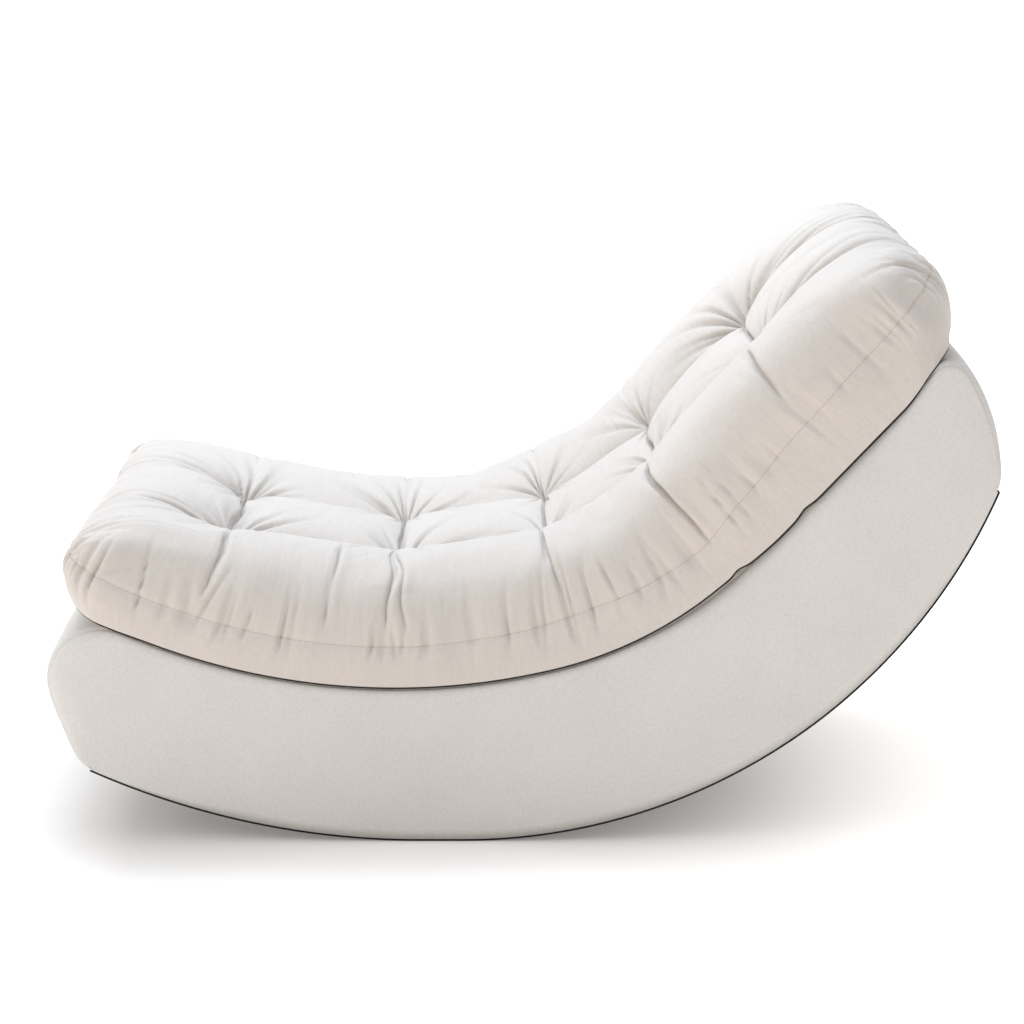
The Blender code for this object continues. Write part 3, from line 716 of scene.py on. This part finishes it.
def gradedLines(start, end):
    # closer together at both ends, where the creases lie
    count = max(2, round((end - start) / pad["cell"]))
    shares = [k / count - pad["crowding"] * sin(tau * k / count) / tau for k in range(count)]
    return [start + (end - start) * share for share in shares]


def rolledLines(edge, inside, rise):
    count = max(2, round((abs(inside - edge) + rise) * pad["arcShare"] / pad["cell"]))
    return [edge + (inside - edge) * (1 - cos(pi / 2 * k / count)) for k in range(count)]


def sheetLines():
    lengthwise = rolledLines(foot, inFoot, pad["footRise"])
    stops = [inFoot, *rows, inHead]
    for a, b in zip(stops, stops[1:]):
        lengthwise += gradedLines(a, b)
    lengthwise += [inHead] + rolledLines(head, inHead, pad["headRise"])[::-1]
    outer = rolledLines(-half, -inSide, pad["sideRise"]) + gradedLines(-inSide, -column)
    return lengthwise, outer + gradedLines(-column, column) + [column] + [-y for y in outer[::-1]]


folds = dict(
    wander=0.0096, wanderFree=0.045,                   # how far the creases stray from straight
    # lineShade, fanShade and fanFull set the painted crease shade along crease lines and fan folds
    lineDepth=0.0050, lineWidth=0.0015, lineShade=0.8, fanShade=0.7, fanFull=0.016,
    seamPinch=0.0022, fadeFrom=(0.025, 0.03),
)


def wavering(s, y):
    # crease lines stray a little, but not at the tufts
    free = (1 - bell(tuftDistance(s, y), folds["wanderFree"])) * edgeShare(s, y) * folds["wander"]
    return free * drift(s * 9, y * 13, 7.3), free * drift(s * 11, y * 9, 2.1)


def arcFromSeam(distance, width, rise):
    turned = acos(1 - min(max(distance / width, 0.0), 1.0))
    return turned * (width + rise) / 2 + max(distance - width, 0.0)


def ridged(value, other, seed, narrow):
    # narrow valleys where slow noise passes zero
    return max(0.0, 1 - abs(drift(value, other, seed)) / narrow)


gather = dict(
    depth=0.0070, wave=0.030, narrow=0.17, reach=0.060, backLoss=0.45,
    endDepth=0.0060, endWave=0.034, endReach=0.130,
    lean=0.30, shortest=0.35, vary=1.5, boxingShare=0.45, swell=0.0060, swellReach=1.6,
    sideLimit=0.16, endLimit=0.30, atSeam=0.001, cornerFree=0.07,
)


def gathers(p, t, seed, depth, wave, reach):
    # at p along the seam and t above it, or below it where t is negative
    p += t * (gather["lean"] * drift(p * 8, seed, 1.5))
    length = reach * (gather["shortest"] + gather["vary"] * abs(drift(p * 13, seed, 4.5)))
    if t < 0:
        length *= gather["boxingShare"]
    valley = ridged(p / wave, t * 4, seed + 0.5, gather["narrow"])
    swell = gather["swell"] * drift(p * 17, t * 5, seed + 9.5)
    return swell * bell(t, reach * gather["swellReach"]) - depth * valley * bell(t, length)


def edgeFolds(s, y, drop):
    # gathers square to the seam, above it (drop 0) and on the boxing below it
    sideways = arcFromSeam(half - abs(y), sideRoll, pad["sideRise"])
    toFoot = arcFromSeam(s - foot, footRoll, pad["footRise"])
    toHead = arcFromSeam(head - s, headRoll, pad["headRise"])
    total = 0.0
    openSide = ease(min(toFoot, toHead) / gather["cornerFree"])
    openEnd = ease(sideways / gather["cornerFree"])
    if sideways < gather["sideLimit"]:
        t = -drop if sideways < gather["atSeam"] else sideways
        seed = 3.0 if y < 0 else 8.0
        depth = gather["depth"] * (1 - gather["backLoss"] * backShare(s))
        total += openSide * gathers(s, t, seed, depth, gather["wave"], gather["reach"])
    for t, seed in ((toFoot, 13.0), (toHead, 18.0)):
        if t < gather["endLimit"]:
            t = -drop if t < gather["atSeam"] else t
            total += openEnd * gathers(y, t, seed, gather["endDepth"], gather["endWave"], gather["endReach"])
    return total + cornerTucks(s, y, min(sideways, toFoot, toHead), drop)


tucks = dict(
    depth=0.0085, headShare=0.6, angles=(16, 34, 55, 74), farTurn=4, headTurn=3,
    margin=0.03, least=0.001, width=0.055, widthStep=0.02,
    reachAbove=0.055, reachBelow=0.030, shortest=0.8, reachStep=0.25,
)


def cornerTucks(s, y, t, drop):
    # pulled tucks round the four plan corners
    corner = pad["footCorner" if s < 0 else "headCorner"]
    ahead = max(foot + corner - s, s - head + corner)
    beside = abs(y) - half + corner
    if min(ahead, beside) <= -tucks["margin"]:
        return 0.0
    around = atan2(max(ahead, tucks["least"]), max(beside, tucks["least"]))
    turn = (tucks["farTurn"] if y > 0 else 0) + (tucks["headTurn"] if s > 0 else 0)
    reach = tucks["reachAbove" if t > tucks["least"] else "reachBelow"]
    total = 0.0
    for k, angle in enumerate(tucks["angles"]):
        width = tucks["width"] + tucks["widthStep"] * (k % 2)
        length = reach * (tucks["shortest"] + tucks["reachStep"] * (k % 3))
        total -= bell(around - radians(angle + turn), width) * bell(t + drop, length)
    return total * tucks["depth"] * (1.0 if s < 0 else tucks["headShare"])


pleats = dict(
    depth=0.0090, narrow=0.18, limit=0.19, core=0.02, curl=1.2,
    reach=0.095, shortest=0.7, vary=0.9, fan=2.3, fanVary=0.5,
)


def tuftPleats(s, y):
    # creases that fan out from each tuft
    middle = column * (1 if y > 0 else -1)
    total = 0.0
    for number, row in enumerate(rows):
        ds, dy = s - row, y - middle
        away = hypot(ds, dy)
        if away > pleats["limit"] or away < 1e-6:
            continue
        seed = number * 3.7 + (50 if y > 0 else 0)
        fan = pleats["fan"] + pleats["fanVary"] * drift(seed, 0.3, 0.7)
        spot = Vector((ds / away * fan + away * pleats["curl"], dy / away * fan, seed))
        valley = ridged(*spot, pleats["narrow"])
        length = pleats["reach"] * (pleats["shortest"] + pleats["vary"] * abs(drift(*spot * 0.7)))
        total -= pleats["depth"] * valley * min(away / pleats["core"], 1.0) * bell(away, length)
    return total


# fans of folds at both ends: how far each spreads from the column, and its depth
fans = dict(
    foot=((0.0, 0.006), (0.055, 0.005), (-0.045, 0.004), (0.110, 0.0035)),
    head=((0.0, 0.007), (0.022, 0.005), (-0.026, 0.005), (0.048, 0.004), (-0.052, 0.004), (0.085, 0.003)),
    width=0.005, spreadPower=0.8, start=0.12, loss=0.5, lossFrom=(0.5, 0.5),
    stray=0.011, strayStart=0.3,
)


def endPleats(s, y):
    # long folds that run on from the last tufts to the foot and the head
    across = abs(y) - column
    total = 0.0
    for end, t, seed in (("foot", (rows[0] - s) / (rows[0] - foot), 21.0),
                         ("head", (s - rows[-1]) / (head - rows[-1]), 34.0)):
        if t <= 0:
            continue
        seed += 5 if y > 0 else 0
        shown = ease(t / fans["start"]) * (1 - fans["loss"] * rising(t, *fans["lossFrom"]))
        for k, (spread, depth) in enumerate(fans[end]):
            stray = fans["stray"] * ease(t / fans["strayStart"]) * drift(t * 2.5, k * 3.1, seed)
            off = across - spread * t ** fans["spreadPower"] - stray
            total -= depth * shown * crease(off, fans["width"])
    return total


pulls = dict(
    # on the near roll: place along, slant towards the seam, depth and how far down it runs
    lines=((-0.290, -0.016, 0.0055, 0.80), (-0.105, -0.006, 0.0045, 0.90), (-0.006, -0.010, 0.0065, 0.85),
              (0.002, 0.018, 0.0055, 0.85), (0.252, 0.018, 0.0055, 0.70), (0.515, 0.004, 0.0085, 1.05),
              (0.742, -0.008, 0.0055, 0.75)),
    inner=0.235, crown=0.20, below=0.10, width=0.0024, stray=0.003,
    start=0.18, end=0.25, endSpan=0.30, ridge=0.30, ridgeOff=0.010, ridgeWidth=0.008,
    # darkWidth and darkLoss shape the painted shade along each pull
    darkWidth=0.0013, darkLoss=0.6, farShare=0.5,
)


def rollPulls(s, y, drop):
    # creases that the tufts draw over the roll and down its side: how deep, and how much painted shade
    # darkens them
    inner, crown = pulls["inner"], pulls["crown"]
    if abs(y) < inner:
        return 0.0, 0.0
    t = (abs(y) - inner) / (inSide - inner) * crown
    if half - abs(y) < sideRoll:
        t = crown + (1 - crown) * (1 - edgeShare(s, y)) if drop <= 0 else 1.0 + drop / pulls["below"]
    total, paintedShade = 0.0, 0.0
    for place, slant, depth, reach in pulls["lines"]:
        off = s - place - slant * t - pulls["stray"] * drift(t * 3, place * 40, 6.1)
        shown = ease(t / pulls["start"]) * (1 - ease((t - reach + pulls["end"]) / pulls["endSpan"]))
        ridge = pulls["ridge"] * bell(off - pulls["ridgeOff"], pulls["ridgeWidth"])
        total += depth * shown * (ridge - crease(off, pulls["width"]))
        # painted shade along each pull, fading down the roll
        paintedShade = max(paintedShade, shown * (1 - pulls["darkLoss"] * ease(t / reach)) * bell(off, pulls["darkWidth"]))
    hand = 1.0 if y < 0 else pulls["farShare"]
    return total * hand, paintedShade * hand


# kept at each point: its place on the sheet, its depth below the seam, and 1 where it lies on the seam
sheetValues = ("along", "across", "drop", "seam")


def sheetLayers(bm):
    return {name: bm.verts.layers.float[name] for name in sheetValues}


def sheetPlace(vert, layers):
    return [vert[layers[name]] for name in sheetValues[:3]]


def cushionSheet():
    lengthwise, crosswise = sheetLines()
    bm = bmesh.new()
    for name in sheetValues:
        bm.verts.layers.float.new(name)
    layers = sheetLayers(bm)
    for vert, i, j in gridVerts(bm, len(lengthwise) - 1, len(crosswise) - 1):
        s, y = lengthwise[i], crosswise[j]
        vert[layers["along"]], vert[layers["across"]] = s, y
        vert[layers["seam"]] = float(vert.is_boundary)
        offS, offY = wavering(s, y)
        planS, planY = roundedPlan(s + offS, y + offY)
        vert.co = overDeck(planS, planY, topHeight(s, y))
    print("cushion sheet", len(lengthwise), "by", len(crosswise))
    return bm


puff = dict(
    frames=16, cap=0.026, pinRadius=0.007, creaseHold=0.7, creaseWidth=0.006, leastHold=0.02,
    edgeGather=0.10, tuftGather=0.07, tuftShare=0.8,
    cloth=dict(
        quality=5, mass=0.3, air_damping=4, tension_stiffness=25, compression_stiffness=12,
        shear_stiffness=8, bending_stiffness=0.02, tension_damping=6, compression_damping=6,
        shear_damping=6, use_pressure=True, uniform_pressure_force=4.0,
        vertex_group_mass="held", vertex_group_shrink="gather", shrink_min=0.0, shrink_max=-0.06,
    ),
)


def simulatePuff(bm):
    # the top panel blown up as cloth, pinned at seam and tufts, held more softly along the creases
    sheet = meshObject("puffSheet", bm)
    held = sheet.vertex_groups.new(name="held")
    slack = sheet.vertex_groups.new(name="gather")
    layers = sheetLayers(bm)
    bm.verts.index_update()
    for vert in bm.verts:
        s, y, _ = sheetPlace(vert, layers)
        tuft = tuftDistance(s, y)
        hold = puff["creaseHold"] * creaseLine(s, y, puff["creaseWidth"])
        if vert.is_boundary or tuft < puff["pinRadius"]:
            hold = 1.0
        if hold > puff["leastHold"]:
            held.add([vert.index], hold, "REPLACE")
        edge = min(half - abs(y), s - foot, head - s)
        atTuft = puff["tuftShare"] * (1 - ease(tuft / puff["tuftGather"]))
        slack.add([vert.index], max(1 - ease(edge / puff["edgeGather"]), atTuft), "REPLACE")
    cloth = sheet.modifiers.new("puff", "CLOTH")
    for name, value in puff["cloth"].items():
        setattr(cloth.settings, name, value)
    cloth.settings.effector_weights.gravity = 0.0
    cloth.collision_settings.use_collision = False
    cloth.point_cache.frame_start = 1
    cloth.point_cache.frame_end = puff["frames"]
    scene = bpy.context.scene
    for number in range(1, puff["frames"] + 1):
        scene.frame_set(number)
    shown = sheet.evaluated_get(bpy.context.evaluated_depsgraph_get())
    places = [v.co.copy() for v in shown.data.vertices]
    scene.frame_set(1)
    moves = []
    for vert, place in zip(bm.verts, places):
        move = place - vert.co
        moves.append(move.length)
        if move.length > puff["cap"]:
            move *= puff["cap"] / move.length
        vert.co += move
    discard(sheet)
    print("puff moved up to", round(max(moves) * 1000, 1), "mm")


# dark tape along the cushion's lower edge, a painted shadow for the shaded gap between cushion and base,
# thinner towards the foot and the head
shadowTape = dict(
    height=0.0012, loss=0.8, footEnd=(-0.50, 0.16), headFrom=(0.80, 0.14),
    outerInset=0.0012, innerInset=0.0045, lap=0.0008,
)


def shadowTapeHeight(s):
    ends = shadowTape["loss"] * (1 - rising(s, *shadowTape["footEnd"]))
    return shadowTape["height"] * (1 - ends - shadowTape["loss"] * rising(s, *shadowTape["headFrom"]))


boxing = dict(
    rings=6, lowRing=0.035, overhang=0.001, bulge=0.004, endTuck=0.045, tuckPower=2.2,
    droop=0.0062, footDroop=0.0030, footEnd=(-0.47, 0.12),
    backDroop=0.0090, backFrom=(0.48, 0.12), backTo=(0.94, 0.10), droopSide=(0.36, 0.035),
    notches=(0.520, 0.645), notchDepth=0.004, notchWidth=0.012,
    footSag=0.007, headSag=0.002, sagSpan=0.05, sagSide=(0.30, 0.06),
    turnEnd=0.075, turnSide=0.91, turnDrop=0.03,
)


def boxingPoint(s, y, share):
    # the band below the seam: nearly upright at the sides, rounder at foot and head
    planS, planY = roundedPlan(s, y)
    across = lengthShare(s)
    out = (boxing["overhang"] + pad["waist"] * (1 - across * across)) * (1 - share) ** 2
    planY *= 1 + (out + sin(pi * share) * boxing["bulge"]) / half
    endTuck = (1 - share) ** boxing["tuckPower"] * boxing["endTuck"]
    planS += max(inFoot - planS, 0) * endTuck / footRoll - max(planS - inHead, 0) * endTuck / headRoll
    # the sides hang a little over the base's rounded rim
    hang = boxing["droop"] + boxing["footDroop"] * (1 - rising(s, *boxing["footEnd"]))
    hang += boxing["backDroop"] * rising(s, *boxing["backFrom"]) * falling(s, *boxing["backTo"])
    low = pad["lift"] + shadowTapeHeight(s) - hang * rising(abs(y), *boxing["droopSide"])
    low += boxing["notchDepth"] * sum(bell(s - place, boxing["notchWidth"]) for place in boxing["notches"])
    # foot and head sink on to the base's rounded ends
    inside = 1 - rising(abs(y), *boxing["sagSide"])
    low -= boxing["footSag"] * inside * (1 - rising(s, foot, boxing["sagSpan"]))
    low -= boxing["headSag"] * inside * (1 - falling(s, head, boxing["sagSpan"]))
    return planS, planY, low + (seamHeight(s) - low) * share


def addBoxing(bm):
    layers = sheetLayers(bm)
    edges = openEdges(bm)
    rings = boxing["rings"]
    shares = [1 - ring / rings for ring in range(1, rings)] + [boxing["lowRing"], 0.0, None]
    for share in shares:
        grown = bmesh.ops.extrude_edge_only(bm, edges=edges)["geom"]
        fresh = [g for g in grown if isinstance(g, bmesh.types.BMVert)]
        edges = [g for g in grown if isinstance(g, bmesh.types.BMEdge) and g.is_boundary]
        for vert in fresh:
            s, y, _ = sheetPlace(vert, layers)
            vert[layers["seam"]] = 0.0
            if share is not None:
                vert.co = overDeck(*boxingPoint(s, y, share))
                vert[layers["drop"]] = seamHeight(s) * (1 - share)
            else:                                       # turned in under the cushion, down on the deck
                planS, planY = roundedPlan(s, y)
                planS = min(max(planS, foot + boxing["turnEnd"]), head - boxing["turnEnd"])
                vert.co = overDeck(planS, planY * boxing["turnSide"], pad["lift"])
                vert[layers["drop"]] = seamHeight(s) + boxing["turnDrop"]
    sides = [e for e in edges if all(abs(abs(v[layers["across"]]) - half) < 1e-5 for v in e.verts)]
    bmesh.ops.bridge_loops(bm, edges=sides)
    bmesh.ops.holes_fill(bm, edges=openEdges(bm), sides=0)
    bmesh.ops.recalc_face_normals(bm, faces=bm.faces)


def smoothed(bm):
    # one subdivision, applied
    rough = meshObject("smoothSheet", bm)
    bm.free()
    finer = rough.modifiers.new("finer", "SUBSURF")
    finer.levels = 1
    finer.render_levels = 1
    shown = rough.evaluated_get(bpy.context.evaluated_depsgraph_get())
    result = bmesh.new()
    result.from_mesh(shown.to_mesh())
    discard(rough)
    return result


def foldCushion(bm):
    layers = sheetLayers(bm)
    shade = bm.verts.layers.float.new("paintedCreaseShade")           # painted crease shade: 1 at the bottom of a crease, where the cotton is drawn darkest
    bm.normal_update()
    moves = []
    for vert in bm.verts:
        s, y, drop = sheetPlace(vert, layers)
        pull, paintedShade = rollPulls(s, y, drop)
        move = edgeFolds(s, y, drop) + pull
        if drop <= 0:
            fan = tuftPleats(s, y) + endPleats(s, y)
            line = creaseLine(s, y, folds["lineWidth"])
            move += fan - folds["lineDepth"] * line
            # painted shade: crease lines and fan folds darken the cotton's colour
            paintedShade = max(paintedShade, folds["lineShade"] * line, min(folds["fanShade"], -fan / folds["fanFull"]))
        move *= 1 - rising(drop, *folds["fadeFrom"])
        move -= folds["seamPinch"] * vert[layers["seam"]] ** 2
        vert[shade] = paintedShade
        moves.append(vert.normal * move)
    for vert, move in zip(bm.verts, moves):
        vert.co += move


def layCloth(bm):
    # flat cloth coordinates in metres, run on past the seam over the boxing
    layers = sheetLayers(bm)
    flat = bm.loops.layers.uv.new("cloth")
    for face in bm.faces:
        for loop in face.loops:
            s, y, drop = sheetPlace(loop.vert, layers)
            if drop > 0 and abs(y) > half - 1e-4:
                y += drop if y > 0 else -drop
            elif drop > 0:
                s += drop if s > 0 else -drop
            loop[flat].uv = (s, y)


def seamLoop(bm):
    # the seam's points in order round the cushion
    layer = sheetLayers(bm)["seam"]
    start = next(v for v in bm.verts if v[layer] > 0.99)
    ring, last, vert = [start], None, start
    while True:
        onward = [e.other_vert(vert) for e in vert.link_edges if e.other_vert(vert)[layer] > 0.99]
        onward = [v for v in onward if v is not last]
        if not onward or onward[0] is start:
            return [(v.co.copy(), v.normal.copy()) for v in ring]
        last, vert = vert, onward[0]
        ring.append(vert)


stitching = dict(pitch=0.0050, length=0.0036, thickness=0.0008, raised=0.0001)


def makeStitching(ring):
    bm = bmesh.new()
    radius = stitching["thickness"] / 2
    ahead = 0.0
    for (a, normal), (b, _) in zip(ring, ring[1:] + ring[:1]):
        step = b - a
        reach = step.length
        while ahead < reach:
            place = a + step * (ahead / reach)
            made = bmesh.ops.create_cone(bm, cap_ends=True, segments=6, depth=stitching["length"],
                                         radius1=radius, radius2=radius)
            turn = step.to_track_quat("Z", "Y")
            for vert in made["verts"]:
                vert.co = turn @ vert.co + place + normal * stitching["raised"]
            ahead += stitching["pitch"]
        ahead -= reach
    piece = newPiece("cushionStitching", bm, "seamThread", "cushion")
    print("stitching", len(piece.data.polygons), "faces")


def makeShadowTape():
    # set in a little from the boxing
    # painted shadow: a dark strip where the gap under the cushion's edge lies in shade
    lengthwise, crosswise = sheetLines()
    rim = [(s, -half) for s in lengthwise[:-1]] + [(head, y) for y in crosswise[:-1]]
    rim += [(s, half) for s in lengthwise[:0:-1]] + [(foot, y) for y in crosswise[:0:-1]]
    outer, inner = shadowTape["outerInset"], shadowTape["innerInset"]
    corners = ((outer, False), (outer, True), (inner, True), (inner, False))
    middle = (foot + head) / 2
    bm = bmesh.new()
    for vert, k, corner in gridVerts(bm, len(rim), len(corners)):
        s, y = rim[k % len(rim)]
        inset, bottom = corners[corner % len(corners)]
        planS, planY, low = boxingPoint(s, y, 0.0)
        planS = middle + (planS - middle) * (1 - inset / (middle - foot))
        low += -shadowTapeHeight(s) if bottom else shadowTape["lap"]
        vert.co = overDeck(planS, planY * (1 - inset / half), low)
    closeMesh(bm)
    piece = newPiece("cushionShadowTape", bm, "paintedShadowTape", "cushion")
    print("shadowTape", len(piece.data.polygons), "faces")


def makeCushion():
    bm = cushionSheet()
    simulatePuff(bm)
    addBoxing(bm)
    bm = smoothed(bm)
    foldCushion(bm)
    layCloth(bm)
    bmesh.ops.recalc_face_normals(bm, faces=bm.faces)
    bm.normal_update()
    ring = seamLoop(bm)
    piece = newPiece("cushionCover", bm, "cushionCotton", "cushion")
    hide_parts("cushion_top", "cushion_boxing", "cushion_core", "cushion_underside")
    print("cushion", len(piece.data.polygons), "faces")
    makeStitching(ring)
    makeShadowTape()


makeCushion()


# floor, light and camera
studio = dict(
    camera=(-0.0091, -4.4425, 1.3706), pitch=radians(12.46), lens=105.5, sensor=36,
    skyLow=(0.565, 0.498, 0.436), skyHigh=(0.80, 0.90, 1.02), aim=(0, 0, 0.3),
    keyPower=76, keySize=2.2, keyPlace=(-0.5, 1.2, 2.8), keyColour=(0.84, 0.96, 1.10),
    fillPower=21, fillSize=1.4, fillPlace=(-2.8, -1.5, 1.6), fillColour=(1.0, 0.97, 0.94),
    floor=(0.79, 0.76, 0.73), floorHalf=30, floorRoughness=0.28, mottle=(0.995, 1.005),
    # glow: painted light, the floor's own warm glow that lifts the shadows on it
    glowColour=(1.0, 0.955, 0.915), glow=(0.20, 0.70), glowSpan=(0.45, 1.00),
    glowMiddle=(-0.28, 0, 0),
)


def makeFloor():
    material, tree, shader = newFinish("floorPaint", studio["floorRoughness"])
    place = objectPlace(tree)
    tinted(tree, shader, studio["floor"], rangeNode(tree, noiseNode(tree, place, 3, 2), *studio["mottle"]))
    # painted light: the floor itself glows, a little under the chair and more away from it, lightening and
    # warming the chair's shadow towards its edges
    middle = addNode(tree, "VectorMath", {0: place, 1: studio["glowMiddle"]}, operation="SUBTRACT")
    away = addNode(tree, "VectorMath", {0: middle}, "Value", operation="LENGTH")
    glow = rangeNode(tree, away, *studio["glow"], *studio["glowSpan"], interpolation_type="SMOOTHSTEP")
    shader["Emission Color"].default_value = (*studio["glowColour"], 1)
    feed(tree, shader["Emission Strength"], glow)
    bm = bmesh.new()
    bmesh.ops.create_grid(bm, x_segments=1, y_segments=1, size=studio["floorHalf"])
    floor = meshObject("floor", bm)
    bm.free()
    floor.data.materials.append(material)


makeFloor()


def makeSky():
    # cool overhead and warm near the horizon, as under a large ceiling of soft boxes
    world = bpy.data.worlds.new("studioWorld")
    world.use_nodes = True
    tree = world.node_tree
    height = addNode(tree, "SeparateXYZ", {0: addNode(tree, "TexCoord", {}, "Generated")}, "Z")
    spread = addNode(tree, "ValToRGB", {"Fac": height})
    for element, key in zip(spread.node.color_ramp.elements, ("skyLow", "skyHigh")):
        element.color = (*studio[key], 1)
    # the camera itself sees plain white behind the floor's edge
    inputs = {0: addNode(tree, "LightPath", {}, "Is Camera Ray"), 6: spread, 7: (1, 1, 1, 1)}
    feed(tree, tree.nodes["Background"].inputs["Color"], addNode(tree, "Mix", inputs, 2, data_type="RGBA"))
    bpy.context.scene.world = world


makeSky()
bpy.context.scene.view_settings.view_transform = "Standard"

for kind in ("key", "fill"):
    lamp = bpy.data.lights.new(kind + "Light", "AREA")
    lamp.size = studio[kind + "Size"]
    lamp.energy = studio[kind + "Power"]
    lamp.color = studio[kind + "Colour"]
    light = newObject(kind + "Light", lamp)
    light.location = studio[kind + "Place"]
    light.rotation_euler = (Vector(studio["aim"]) - light.location).to_track_quat("-Z", "Y").to_euler()

lens = bpy.data.cameras.new("photoCamera")
lens.lens = studio["lens"]
lens.sensor_width = studio["sensor"]
camera = newObject("photoCamera", lens)
camera.location = studio["camera"]
camera.rotation_euler = (pi / 2 - studio["pitch"], 0, 0)
bpy.context.scene.camera = camera
print("studio set")

bpy.context.view_layer.update()
